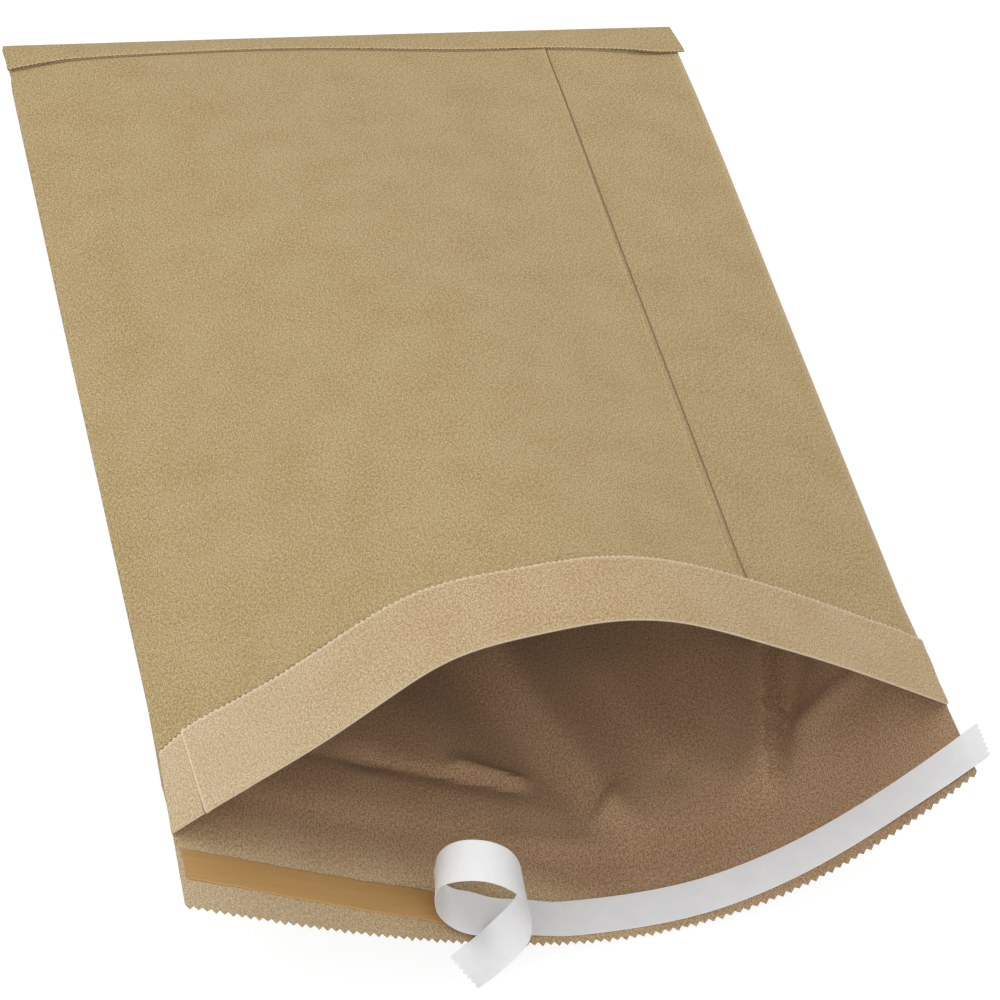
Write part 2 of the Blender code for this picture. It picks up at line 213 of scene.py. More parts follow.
def bell(x: Array, reach: float) -> Array:
    """One at nought, falling off as exp of less x squared over the reach squared."""
    return np.exp(-(x / reach) ** 2)


def unit(vectors: Array) -> Array:
    """Vectors scaled to length one along the last axis."""
    return vectors / np.linalg.norm(vectors, axis=-1, keepdims=True)


class WaveArc:
    """A sheet as wide as the envelope, bent into a sum of half waves of equal length.

    The height at a share s of the sheet's width is the sum of a_k sin(k pi s), and the
    distance across is the integral of sqrt(width squared less the slope squared), so
    the sheet is never stretched.
    """

    def __init__(self, waves: Sequence[float], width: float) -> None:
        """Tabulate the curve.

        Args:
            waves: height of each half wave, in millimetres.
            width: flat width of the sheet, in millimetres.
        """
        self.s = np.linspace(0.0, 1.0, ARC_STATIONS)
        order = np.arange(1, len(waves) + 1)
        phase = np.pi * self.s[:, None] * order
        self.height = np.sin(phase) @ np.array(waves)
        slope = np.cos(phase) @ (np.pi * order * np.array(waves))
        run = np.sqrt(width ** 2 - slope ** 2)
        across = np.concatenate([[0.0], np.cumsum((run[1:] + run[:-1]) / 2 * np.diff(self.s))])
        self.chord = float(across[-1])
        self.across = across / across[-1] - 0.5

    def at(self, s: Array) -> tuple[Array, Array]:
        """Share of the chord across, and the height, at each s."""
        return np.interp(s, self.s, self.across), np.interp(s, self.s, self.height)


@dataclass
class Columns:
    """Lines of points along the tube, as arrays with one entry a line."""

    face: Array
    s: Array
    turn: Array
    lift: Array
    drift: Array
    cuff_drift: Array
    girth: Array

    def part(self, which: Any) -> "Columns":
        """The columns that an index or mask picks."""
        return Columns(*(getattr(self, name)[which] for name in self.__dataclass_fields__))

    def finer(self, count: int) -> "Columns":
        """Evenly spaced columns over the same run, all on its first column's face.

        Args:
            count: number of columns to make.

        Returns:
            The new columns, with every measure interpolated by girth.
        """
        girth = np.linspace(self.girth[0], self.girth[-1], count)
        made = {name: np.interp(girth, self.girth, getattr(self, name))
                for name in self.__dataclass_fields__}
        made["face"] = np.full(count, self.face[0])
        return Columns(**made)

    @staticmethod
    def joined(parts: Sequence["Columns"]) -> "Columns":
        """Several runs of columns, one after the other."""
        return Columns(*(np.concatenate([getattr(p, name) for p in parts])
                         for name in Columns.__dataclass_fields__))


def face_run(face: Face, s: Array, girth: Array, **measures: Any) -> Columns:
    """A run of columns on one face.

    Args:
        face: where the columns lie.
        s: share across the panel at the far fold.
        girth: millimetres round the unfolded sheet.
        measures: turn, lift, drift and cuff_drift, each nought if not given.

    Returns:
        The columns.
    """
    nought = np.zeros(len(s))
    rest = {name: np.broadcast_to(measures.get(name, 0.0), s.shape) + nought
            for name in ("turn", "lift", "drift", "cuff_drift")}
    return Columns(face=np.full(len(s), int(face)), s=s + nought, girth=girth + nought, **rest)


def round_the_back(sizes: EnvelopeSizes, across_panel: int, round_side: int) -> list[Columns]:
    """Right side fold, back panel and left side fold.

    Args:
        sizes: the envelope's lengths.
        across_panel: number of steps across the back.
        round_side: number of columns round each side fold.

    Returns:
        The three runs.
    """
    width, arc = sizes.width, sizes.side_arc
    turns = np.arange(1, round_side + 1) / (round_side + 1)
    s = np.linspace(1.0, 0.0, across_panel + 1)
    return [
        face_run(Face.RIGHT, 0 * turns + 1, width + arc * turns, turn=turns),
        face_run(Face.BACK, s, width + arc + (1 - s) * width),
        face_run(Face.LEFT, 0 * turns, 2 * width + arc + arc * turns, turn=turns[::-1]),
    ]


@dataclass
class TubeForm:
    """The envelope's bare tube and every layer's place on it."""

    sizes: EnvelopeSizes = field(default_factory=EnvelopeSizes)
    front_waves: tuple[float, ...] = (62.4, 1.6, -3.1, -0.8)
    back_waves: tuple[float, ...] = (62.8, -8.6, -0.3, 1.1)
    pull_at: tuple[float, ...] = (0.0, 25.0, 34.0, 60.0, 110.0, 200.0, 400.0, 440.0, 454.0, 486.0)
    left_pull: tuple[float, ...] = (0.8, 2.2, 1.4, 1.4, 1.4, 1.4, 1.9, 0.9, 0.4, -0.6)
    right_pull: tuple[float, ...] = (3.5, 3.5, 3.3, 2.7, 2.4, 2.7, 2.9, 1.3, 0.8, -0.4)
    cuff_pull: tuple[float, float] = (2.0, 1.3)
    seam_bend: float = 95.0
    fold_sharpness: float = 0.6
    edge_lift: float = 0.5
    hem_droop: float = 0.75
    hem_gape: float = 0.7
    hem_gapes_at: tuple[tuple[float, float], ...] = ((0.02, 0.07), (0.93, 0.05))
    edge_lifts_from: float = 0.8
    edge_reach: float = 11.0
    late_power: int = 6
    share_step: float = 0.002
    length_step: float = 0.2
    hem_back: SmoothCurve = field(default_factory=lambda: SmoothCurve(
        (0.0, 0.06, 0.14, 0.22, 0.38, 0.5, 0.66, 0.8, 0.9, 0.94, 1.0),
        (4.0, 7.0, 9.4, 10.0, 9.6, 6.8, 2.4, 2.8, -0.4, -1.8, 1.0)))
    strip_run: SmoothCurve = field(default_factory=lambda: SmoothCurve(
        (0.0, 0.1, 0.166, 0.227, 0.29, 0.37, 0.455, 0.54, 0.64, 0.72, 0.835, 1.0),
        (7.5, 8.0, 9.0, 9.9, 11.2, 13.4, 15.3, 15.0, 14.9, 14.3, 13.7, 14.2)))
    cuff_width: SmoothCurve = field(default_factory=lambda: SmoothCurve(
        (0.0, 0.05, 0.15, 0.27, 0.32, 0.45, 0.5, 0.6, 0.7, 0.82, 0.94, 1.0),
        (33.0, 36.4, 37.3, 39.0, 38.8, 34.6, 34.6, 35.8, 36.6, 35.6, 33.8, 32.2)))
    mouth_run: SmoothCurve = field(default_factory=lambda: SmoothCurve(
        (0.0, 0.06, 0.19, 0.28, 0.34, 0.44, 0.52, 0.6, 0.7, 0.8, 1.0),
        (2.6, 1.5, 2.3, 0.8, -0.9, 0.8, -0.7, -2.0, -0.8, -1.2, -0.8)))
    flap_run: SmoothCurve = field(default_factory=lambda: SmoothCurve(
        (0.0, 0.1, 0.2, 0.3, 0.45, 0.6, 0.75, 0.85, 1.0),
        (0.4, 0.5, 1.3, 2.1, 1.8, 1.0, 0.6, 0.4, 1.0)))

    def __post_init__(self) -> None:
        """Bend the two panels' arcs."""
        self.arch = WaveArc(self.front_waves, self.sizes.width)
        self.bow = WaveArc(self.back_waves, self.sizes.width)

    def bare(self, front: bool, s: Array, t: Array) -> Array:
        """Points of the bare tube.

        A point lies on the straight line from the far fold at share s to the mouth's
        arc at share s. Its height grows as t squared over t plus the end's softness, so
        that the panel leaves the far fold level.

        Args:
            front: True for the front panel, False for the back.
            s: share across the panel from the left side fold.
            t: millimetres from the far fold.

        Returns:
            Points in the envelope's own axes, in millimetres.
        """
        z = self.sizes
        arc, length, sign = (self.arch, z.length, 1.0) if front else (self.bow, z.reach, -1.0)
        across, height = arc.at(s)
        share = length / z.reach
        chord = z.width - (z.width - self.bow.chord) * share
        w = t / length
        start = (s - 0.5) * z.width
        end = across * chord + z.mouth_shift * share
        run = np.sqrt(length ** 2 - height ** 2 - (end - start) ** 2)
        run = run - z.mouth_skew * share * (s - 0.5)
        run = run + (self.mouth_run(s) if front else self.flap_run(s)) * w ** self.late_power
        soft = z.end_softness
        rise = t * t / (t + soft) * (length + soft) / length ** 2
        return np.stack(np.broadcast_arrays(start + (end - start) * w, z.length - run * w,
                                            sign * height * rise), axis=-1)

    def frame(self, front: bool, s: Array, t: Array) -> tuple[Array, Array, Array, Array]:
        """Point, tangent to the right, tangent to the mouth and outward normal.

        Args:
            front: True for the front panel, False for the back.
            s: share across the panel.
            t: millimetres from the far fold.

        Returns:
            Four arrays of vectors, by differences over a small share and length.
        """
        s, t = np.broadcast_arrays(s, t)
        ds, dt = self.share_step, self.length_step
        across = (self.bare(front, np.minimum(s + ds, 1), t)
                  - self.bare(front, np.maximum(s - ds, 0), t))
        along = self.bare(front, s, t + dt) - self.bare(front, s, np.maximum(t - dt, 0))
        along[..., 2] = np.where(t < dt, 0.0, along[..., 2])
        across, along = unit(across), unit(along)
        normal = np.cross(along, across) if front else np.cross(across, along)
        return self.bare(front, s, t), across, along, unit(normal)

    def narrowing(self, s: Array, t: Array, folded: bool) -> Array:
        """Millimetres by which the filled tube draws its sides in, to the right.

        The pull is read from a table along the tube. The hem and the cuff, which lie
        flat, start with the pull of their fold. It fades on the right of the hem and
        grows to the cuff's edge.

        Args:
            s: share across the panel.
            t: millimetres from the far fold.
            folded: True on the hem and the cuff.

        Returns:
            The sideways shift of each point.
        """
        z = self.sizes
        at_mouth = t > z.length / 2
        at = np.where(at_mouth, z.length, 0.0) if folded else t
        left = np.interp(at, self.pull_at, self.left_pull)
        right = np.interp(at, self.pull_at, self.right_pull)
        if folded:
            more = np.where(at_mouth, (z.length - t) / z.cuff, 0.0)
            fading = np.where(at_mouth, 1.0, 1 - np.clip(t / z.hem, 0, 1))
            left = left + self.cuff_pull[0] * more
            right = right * fading + self.cuff_pull[1] * more
        return left * (1 - s) - right * s

    def padding_room(self, columns: Columns, t: Array, s: Array) -> tuple[Array, Array]:
        """Room that the padding takes, outwards and inwards of the bare tube.

        It is thin beside the side folds and at its two ends, and on the front it turns
        inwards in step with the distance from the far fold.

        Args:
            columns: lines along the tube.
            t: millimetres from the far fold.
            s: share across the panel.

        Returns:
            Millimetres outwards and inwards.
        """
        z = self.sizes
        side = (columns.face == Face.LEFT) | (columns.face == Face.RIGHT)
        from_fold = np.where(side, 0.0, np.minimum(s, 1 - s) * z.width)
        clear = np.clip(from_fold / z.padding_crush, 0, 1)
        share = z.padding_side_share
        full = z.gap + z.padding * (share + (1 - share) * clear)
        edge = z.gap + z.padding_edge
        rising = np.clip((t - z.padding_start) / (z.padding_full - z.padding_start), 0, 1)
        room = np.where(t < z.padding_start, edge * t / z.padding_start,
                        edge + (full - edge) * smooth_step(rising))
        cuff_start = z.length - z.cuff
        falling = np.clip((t - cuff_start) / (z.cuff - z.padding_stop), 0, 1)
        room = np.where(t > cuff_start, full + (edge - full) * falling, room)
        last = z.length - z.padding_stop
        flat = z.length - z.padding_flat
        room = np.where(t > last, edge * np.clip((flat - t) / (flat - last), 0, 1), room)
        inward = np.where(columns.face == Face.FRONT, clear * np.clip(t / z.length, 0, 1), 0.0)
        return room * (1 - inward), room * inward

    def from_far_fold(self, columns: Columns, zone: Zone, v: Array) -> tuple[Array, Array]:
        """Distance of each point from the far fold of the tube's own lines.

        The far end is folded a little inside the tube's first line, the hem's edge lies
        further back where the body bulges, and the rows beside the hem's and the cuff's
        edges follow those edges.

        Args:
            columns: lines along the tube.
            zone: stretch of the sheet.
            v: the zone's measures as one column of rows.

        Returns:
            The distance, rows by columns, and the part of it folded back on the cuff.
        """
        z = self.sizes
        s = np.clip(columns.s, 0, 1)[None, :]
        v = v + 0 * s
        width = self.cuff_width(s)
        cuff_back = v * width if zone is Zone.CUFF else 0 * v
        if zone is Zone.HEM:
            v = v * (1 - self.hem_back(s) / z.hem)
        if zone is Zone.TUBE:
            on_front = (columns.face == Face.FRONT)[None, :]
            beside = bell(v - z.length + z.cuff, self.edge_reach)
            v = v + np.where(on_front, (z.cuff - width) * beside, 0.0)
            beside = bell(v - z.hem, self.edge_reach)
            v = v - np.where(on_front, self.hem_back(s) * beside, 0.0)
        if zone is Zone.FAR_FOLD:
            v = 0 * v
        if zone in (Zone.MOUTH_FOLD, Zone.CUFF):
            v = z.length - cuff_back
        return v + z.far_start * np.clip(1 - v / z.hem, 0, 1), cuff_back

    def layer(self, columns: Columns, zone: Zone, values: Array, level: Any,
              outside: bool = False) -> Array:
        """Points of one layer over one zone.

        Args:
            columns: lines along the tube.
            zone: stretch of the sheet.
            values: millimetres from the far fold on the tube and the flap, millimetres
                back from the fold on the hem, share of the width on the cuff, and an
                angle on a fold.
            level: height above the bare tube, in millimetres, one number or a grid.
            outside: True for a layer outside the padding.

        Returns:
            Array of rows by columns by three, in millimetres.
        """
        z = self.sizes
        v = np.asarray(values, float)[:, None]
        t, cuff_back = self.from_far_fold(columns, zone, v)
        down = np.clip(t, 0, z.length)
        down = down + self.seam_bend * (down / z.length) ** self.late_power
        s = columns.s + columns.drift * down + columns.cuff_drift * cuff_back
        s = np.where(columns.face == Face.RIGHT, 1.0, np.where(columns.face == Face.LEFT, 0.0, s))
        outwards, inwards = self.padding_room(columns, t, s)
        point, across, along, normal = self.frame(True, s, t)
        level = np.broadcast_to(level, t.shape)
        back = columns.face == Face.BACK
        left = columns.face == Face.LEFT
        if zone in (Zone.TUBE, Zone.FLAP):
            back_point, _, _, back_normal = self.frame(False, s, t)
            start = np.arctan2(normal[..., 2], normal[..., 0])
            stop = np.arctan2(back_normal[..., 2], back_normal[..., 0])
            gone = columns.turn
            angle = np.where(left, start + ((stop - start) % math.tau) * gone,
                             start - ((start - stop) % math.tau) * gone)
            side = np.stack([np.cos(angle), 0 * angle, np.sin(angle)], axis=-1)
            on_side = (left | (columns.face == Face.RIGHT))[:, None]
            out = np.where(on_side, side, np.where(back[:, None], back_normal, normal))
            base = np.where(back[:, None], back_point, point)
            base = base + np.stack([self.narrowing(s, t, False), 0 * t, 0 * t], axis=-1)
            return base + out * (level + (outwards if outside else -inwards))[..., None]
        angle = np.pi * np.where(back, 1.0, columns.turn)
        sunk = level * np.cos(angle)
        sideways = across * (level * np.sin(angle) * np.where(left, -1.0, 1.0))[..., None]
        point = point + np.stack([self.narrowing(s, t, True), 0 * t, 0 * t], axis=-1)
        if zone in (Zone.HEM, Zone.CUFF):
            size, rise = 1.0, self.edge_lift
            if zone is Zone.HEM:
                gape = sum(bell(s - at, reach) for at, reach in self.hem_gapes_at)
                size, rise = z.hem, self.hem_gape * gape - self.hem_droop
            past = (v / size - self.edge_lifts_from) / (1 - self.edge_lifts_from)
            lift = rise * np.clip(past, 0, None) ** 2
            height = 2 * z.fold_radius + outwards - sunk + lift
            return point + normal * height[..., None] + sideways
        away = along if zone is Zone.MOUTH_FOLD else -along
        radius = z.fold_radius - sunk
        return (point + normal * (z.fold_radius - radius * np.cos(v))[..., None]
                + away * (self.fold_sharpness * radius * np.sin(v))[..., None] + sideways)


@dataclass(frozen=True)
class Stand:
    """Where the envelope's own axes lie in the row frame: it rests tilted on its belly."""

    tilt: float = 0.13696672
    shift: tuple[float, float, float] = (-0.27123, -193.83441, 65.07575)

    def turn(self) -> Array:
        """Matrix of the tilt about X."""
        c, s = math.cos(-self.tilt), math.sin(-self.tilt)
        return np.array([[1, 0, 0], [0, c, -s], [0, s, c]], float)

    def place(self, points: Array) -> Array:
        """Own millimetres to row-frame metres: turned about X, then shifted."""
        return (points @ self.turn().T + np.array(self.shift)) * MM


STAND = Stand()


class PaperShell:
    """A thin closed sheet: matching points on its two faces, joined round a rim."""

    def __init__(self) -> None:
        """Start with no points and no faces."""
        self.outer: list[Array] = []
        self.inner: list[Array] = []
        self.flat: list[Array] = []
        self.wear_with_painted_light: list[Array] = []
        self.tone: list[Array] = []
        self.faces: list[Array] = []
        self.count = 0

    def points(self, outer: Array, inner: Array, flat: Array, wear_with_painted_light: Any = 0.0,
               tone: Any = 0.0) -> Array:
        """Add points and give their numbers.

        Args:
            outer: points of the outward face, the last axis being x, y and z.
            inner: points of the inward face, of the same shape.
            flat: place on the unfolded sheet in millimetres, the last axis being two.
            wear_with_painted_light: rubbing, painted highlight and painted light above nought,
                painted shadow lines below it, from -1 to 1.
            tone: painted shade within the pocket, from 0 to 1.

        Returns:
            The points' numbers, in the shape of the points.
        """
        shape = outer.shape[:-1]
        size = int(np.prod(shape))
        self.outer.append(outer.reshape(-1, 3))
        self.inner.append(inner.reshape(-1, 3))
        self.flat.append(np.broadcast_to(flat, shape + (2,)).reshape(-1, 2))
        self.wear_with_painted_light.append(np.broadcast_to(wear_with_painted_light, shape).reshape(-1))
        self.tone.append(np.broadcast_to(tone, shape).reshape(-1))
        numbers = np.arange(self.count, self.count + size).reshape(shape)
        self.count += size
        return numbers

    def grid(self, numbers: Array) -> None:
        """Faces between neighbouring rows and columns, two triangles a cell."""
        a, b = numbers[:-1, :-1].ravel(), numbers[1:, :-1].ravel()
        c, d = numbers[1:, 1:].ravel(), numbers[:-1, 1:].ravel()
        self.faces += [np.stack([a, b, c], axis=1), np.stack([a, c, d], axis=1)]

    def zip_rows(self, upper: Array, lower: Array, upper_at: Array, lower_at: Array) -> None:
        """Triangles between two rows with different numbers of points.

        Each edge joins the point of the other row that has as many edge middles before
        it as the edge has.

        Args:
            upper: numbers of the upper row's points.
            lower: numbers of the lower row's points.
            upper_at: increasing places of the upper points.
            lower_at: increasing places of the lower points.
        """
        upper_mid = (upper_at[1:] + upper_at[:-1]) / 2
        lower_mid = (lower_at[1:] + lower_at[:-1]) / 2
        to_lower = lower[np.searchsorted(lower_mid, upper_mid, side="left")]
        to_upper = upper[np.searchsorted(upper_mid, lower_mid, side="right")]
        self.faces += [np.stack([upper[:-1], to_lower, upper[1:]], axis=1),
                       np.stack([to_upper, lower[:-1], lower[1:]], axis=1)]

    def teeth(self, base: Array, tips: Array, downwards: bool) -> None:
        """One triangle a tooth between neighbouring valleys."""
        if downwards:
            self.faces.append(np.stack([base[:-1], tips, base[1:]], axis=1))
        else:
            self.faces.append(np.stack([tips, base[:-1], base[1:]], axis=1))

    def build(self, name: str) -> bpy.types.Object:
        """Close the sheet and make its mesh at the row frame's origin.

        Args:
            name: piece name.

        Returns:
            The new object, with its flat map, its rubbing, painted light and painted shadow marks,
            and its painted pocket shade stored in the mesh.
        """
        outer, inner = np.concatenate(self.outer), np.concatenate(self.inner)
        flat = np.concatenate(self.flat)
        marks = {WEAR_AND_PAINTED_LIGHT: np.tile(np.concatenate(self.wear_with_painted_light), 2),
                 PAINTED_SHADE: np.tile(np.concatenate(self.tone), 2)}
        faces = np.concatenate(self.faces)
        n = len(outer)
        edges = np.concatenate([faces[:, [0, 1]], faces[:, [1, 2]], faces[:, [2, 0]]])
        there = edges[:, 0].astype(np.int64) * n + edges[:, 1]
        back = edges[:, 1].astype(np.int64) * n + edges[:, 0]
        rim = edges[~np.isin(back, there)]
        a, b = rim[:, 0], rim[:, 1]
        triangles = np.concatenate([
            faces, faces[:, ::-1] + n,
            np.stack([b, a, a + n], axis=1), np.stack([b, a + n, b + n], axis=1)])
        return new_mesh(name, np.concatenate([outer, inner]), triangles,
                        np.tile(flat, (2, 1)), marks)


def new_mesh(name: str, points: Array, triangles: Array, flat: Array,
             marks: dict[str, Array]) -> bpy.types.Object:
    """Make a shaded mesh object from whole arrays.

    Args:
        name: piece name.
        points: points in the envelope's own millimetres.
        triangles: point numbers, three a face, anticlockwise from outside.
        flat: place of each point on the unfolded sheet, in millimetres.
        marks: values of each named attribute, one a point.

    Returns:
        The linked object, at the origin, in metres.
    """
    data = bpy.data.meshes.new(name)
    data.vertices.add(len(points))
    data.vertices.foreach_set("co", STAND.place(points).astype(np.float32).ravel())
    corners = triangles.astype(np.int32).ravel()
    data.loops.add(len(corners))
    data.loops.foreach_set("vertex_index", corners)
    data.polygons.add(len(triangles))
    data.polygons.foreach_set("loop_start", np.arange(0, len(corners), 3, dtype=np.int32))
    data.update(calc_edges=True)
    data.validate()
    uv = data.uv_layers.new(name=FLAT_MAP)
    index = np.empty(len(data.loops), np.int32)
    data.loops.foreach_get("vertex_index", index)
    uv.data.foreach_set("uv", (flat[index] * MM).astype(np.float32).ravel())
    for mark, values in marks.items():
        attribute = data.attributes.new(mark, "FLOAT", "POINT")
        attribute.data.foreach_set("value", values.astype(np.float32))
    mesh = bmesh.new()
    mesh.from_mesh(data)
    if mesh.calc_volume(signed=True) < 0:
        bmesh.ops.reverse_faces(mesh, faces=mesh.faces)
        LOG.info("%s: faces turned outwards", name)
    mesh.to_mesh(data)
    mesh.free()
    data.shade_smooth()
    data.set_sharp_from_angle(angle=math.radians(SHARP_DEGREES))
    piece = bpy.data.objects.new(name, data)
    bpy.context.scene.collection.objects.link(piece)
    return piece


def linear(hex_colour: str) -> tuple[float, float, float, float]:
    """Linear colour of an sRGB hex value.

    Args:
        hex_colour: six hex digits after a hash sign.

    Returns:
        Red, green, blue and alpha.
    """
    shares = [int(hex_colour[k:k + 2], 16) / 255 for k in (1, 3, 5)]
    curve = [c / 12.92 if c <= 0.04045 else ((c + 0.055) / 1.055) ** 2.4 for c in shares]
    return curve[0], curve[1], curve[2], 1.0


def add_node(tree: bpy.types.NodeTree, kind: str, settings: Optional[dict] = None,
             links: Optional[dict] = None) -> bpy.types.Node:
    """Add a shader node with its settings and links.

    Args:
        tree: node tree of a material or the world.
        kind: the node's type name.
        settings: value of each named or numbered socket, or of each property.
        links: output socket that feeds each named or numbered input.

    Returns:
        The new node.
    """
    node = tree.nodes.new(kind)
    for name, value in (settings or {}).items():
        if isinstance(name, str) and hasattr(node, name):
            setattr(node, name, value)
        else:
            node.inputs[name].default_value = value
    for name, source in (links or {}).items():
        tree.links.new(source, node.inputs[name])
    return node


def calculate(tree: bpy.types.NodeTree, operation: str, *terms: Any,
              clamp: bool = False) -> bpy.types.NodeSocket:
    """Sum, product or other measure of numbers and sockets.

    Args:
        tree: node tree of a material or the world.
        operation: the Math node's operation.
        terms: a number or a socket for each input.
        clamp: True to hold the outcome between 0 and 1.

    Returns:
        The socket of the outcome.
    """
    node = add_node(tree, "ShaderNodeMath", {"operation": operation, "use_clamp": clamp})
    fill_inputs(tree, node, dict(enumerate(terms)))
    return node.outputs[0]


def fill_inputs(tree: bpy.types.NodeTree, node: bpy.types.Node, values: dict) -> None:
    """Link the sockets among the values to a node's inputs, and set the rest as numbers."""
    for name, value in values.items():
        if isinstance(value, bpy.types.NodeSocket):
            tree.links.new(value, node.inputs[name])
        else:
            node.inputs[name].default_value = value


def flat_place(tree: bpy.types.NodeTree) -> bpy.types.NodeSocket:
    """Place on the unfolded sheet, in metres."""
    return add_node(tree, "ShaderNodeUVMap", {"uv_map": FLAT_MAP}).outputs["UV"]


def noise(tree: bpy.types.NodeTree, place: bpy.types.NodeSocket, size_mm: float, detail: float,
          roughness: float = 0.5, dimensions: str = "2D") -> bpy.types.NodeSocket:
    """Noise with patches of a real size.

    Args:
        tree: node tree of a material.
        place: where the noise is read, in metres.
        size_mm: size of the largest patches, in millimetres.
        detail: number of finer layers.
        roughness: strength of each finer layer.
        dimensions: 2D on an unfolded sheet, 3D in space.

    Returns:
        The noise's socket.
    """
    return add_node(tree, "ShaderNodeTexNoise", {
        "noise_dimensions": dimensions, "Scale": 1 / (size_mm * MM), "Detail": detail,
        "Roughness": roughness}, {"Vector": place}).outputs["Fac"]


def spread(tree: bpy.types.NodeTree, share: bpy.types.NodeSocket, low: float, high: float,
           start: float = 0.0, stop: float = 1.0) -> bpy.types.NodeSocket:
    """Map a socket's run from start to stop on to low to high."""
    return add_node(tree, "ShaderNodeMapRange", {
        "From Min": start, "From Max": stop, "To Min": low, "To Max": high},
        {"Value": share}).outputs[0]


def colour_ramp(tree: bpy.types.NodeTree, share: bpy.types.NodeSocket,
                stops: Sequence[tuple[float, str]]) -> bpy.types.NodeSocket:
    """Colours along a socket's value.

    Args:
        tree: node tree of a material.
        share: the value that picks the colour.
        stops: place and sRGB hex colour of each stop, in order.

    Returns:
        The colour's socket.
    """
    ramp = add_node(tree, "ShaderNodeValToRGB", links={"Fac": share})
    elements = ramp.color_ramp.elements
    for element, (place, colour) in zip((elements[0], elements[1]), (stops[0], stops[-1])):
        element.position = place
        element.color = linear(colour)
    for place, colour in stops[1:-1]:
        elements.new(place).color = linear(colour)
    return ramp.outputs["Color"]


def mix_colour(tree: bpy.types.NodeTree, share: bpy.types.NodeSocket,
               under: bpy.types.NodeSocket, over: str, blend: str = "MIX") -> bpy.types.NodeSocket:
    """Lay an sRGB hex colour over a socket's colour by a share."""
    return add_node(tree, "ShaderNodeMix", {
        "data_type": "RGBA", "blend_type": blend, 7: linear(over)},
        {0: share, 6: under}).outputs[2]


def bump(tree: bpy.types.NodeTree, height: bpy.types.NodeSocket, strength: float,
         depth_mm: float, under: Optional[bpy.types.NodeSocket] = None) -> bpy.types.NodeSocket:
    """Small relief of a depth in millimetres, over another one if it is given."""
    node = add_node(tree, "ShaderNodeBump", {"Strength": strength, "Distance": depth_mm * MM},
                    {"Height": height})
    if under is not None:
        tree.links.new(under, node.inputs["Normal"])
    return node.outputs[0]


def new_material(name: str) -> tuple[bpy.types.Material, bpy.types.NodeTree, bpy.types.Node]:
    """A material with its tree and its Principled node."""
    made = bpy.data.materials.new(name)
    made.use_nodes = True
    return made, made.node_tree, made.node_tree.nodes["Principled BSDF"]


@dataclass(frozen=True)
class KraftPaper:
    """Unbleached kraft paper, machine glazed on neither side.

    Long brown softwood fibres give it a matt, faintly woolly face, with a fine pepper
    of darker and lighter fibre ends and cloudy patches where the pulp lies thicker.
    """

    name: str
    dark: str
    middle: str
    light: str
    # Pale colour for rubbing, painted fold highlights and painted light on the left ends.
    worn_and_painted_light: str
    # Dark colour of the painted shadow lines beside the cuff's, hem's and lap's edges.
    line: str = "#3E2E1A"
    # Tint multiplied in as painted shade inside the pocket.
    pocket_shade_tint: str = "#FFFFFF"
    pale_share: float = 0.75
    shadow_line_share: float = 0.8
    grain_mm: float = 0.42
    grain_depth_mm: float = 0.06
    fibre_share: float = 2.1
    fibre_stretch: float = 0.7
    cloud_mm: float = 26.0
    cockle_mm: float = 45.0
    cockle_depth_mm: float = 0.1
    roughness: float = 0.82

    def material(self) -> bpy.types.Material:
        """Build the material.

        The grain is a noise of the fibres' size, its strength follows a noise of the
        clouds' size; the marks attribute mixes in the pale colour for rubbing, painted
        highlights and painted light and the dark colour for painted shadow lines, and the
        pocket attribute multiplies in the tint as painted pocket shade.

        Returns:
            The finished material.
        """
        made, tree, shader = new_material(self.name)
        flat = flat_place(tree)
        along = add_node(tree, "ShaderNodeMapping", {"Scale": (1.0, self.fibre_stretch, 1.0)},
                         {"Vector": flat}).outputs[0]
        grain = noise(tree, flat, self.grain_mm, 2.0, 0.7)
        fibre = noise(tree, along, self.grain_mm * self.fibre_share, 3.0, 0.65)
        cloud = noise(tree, flat, self.cloud_mm, 3.0, 0.55)
        cockle = noise(tree, flat, self.cockle_mm, 2.0, 0.45)
        strength = spread(tree, cloud, 1.4, 2.6, 0.35, 0.65)
        peppered = calculate(tree, "MULTIPLY", calculate(tree, "SUBTRACT", grain, 0.5), strength)
        fibres = calculate(tree, "MULTIPLY_ADD", fibre, 0.9, -0.45)
        clouds = calculate(tree, "MULTIPLY_ADD", cloud, 0.14, 0.43)
        mottle = calculate(tree, "ADD", calculate(tree, "ADD", peppered, fibres), clouds)
        paper = colour_ramp(tree, mottle, (
            (0.2, self.dark), (0.5, self.middle), (0.8, self.light)))
        # Painted light and shade: the marks attribute pales by rubbing, painted highlights and
        # painted light, and darkens by painted shadow lines; the pocket attribute brings painted
        # shade.
        wear_with_painted_light, pocket = (add_node(tree, "ShaderNodeAttribute", {"attribute_name": mark})
                        .outputs["Fac"] for mark in (WEAR_AND_PAINTED_LIGHT, PAINTED_SHADE))
        paled = calculate(tree, "MULTIPLY", wear_with_painted_light, self.pale_share, clamp=True)
        # Painted shadow lines beside the edges.
        shadowed = calculate(tree, "MULTIPLY", wear_with_painted_light, -self.shadow_line_share, clamp=True)
        pale = mix_colour(tree, paled, paper, self.worn_and_painted_light)
        lined = mix_colour(tree, shadowed, pale, self.line)
        swell = bump(tree, cockle, 0.5, self.cockle_depth_mm)
        # The pocket tint multiplies in painted shade.
        fill_inputs(tree, shader, {
            "Base Color": mix_colour(tree, pocket, lined, self.pocket_shade_tint, "MULTIPLY"),
            "Roughness": spread(tree, cloud, self.roughness - 0.06, self.roughness + 0.08),
            "Normal": bump(tree, grain, 0.35, self.grain_depth_mm, swell),
            "IOR": 1.45, "Specular IOR Level": 0.25, "Sheen Weight": 0.08})
        return made


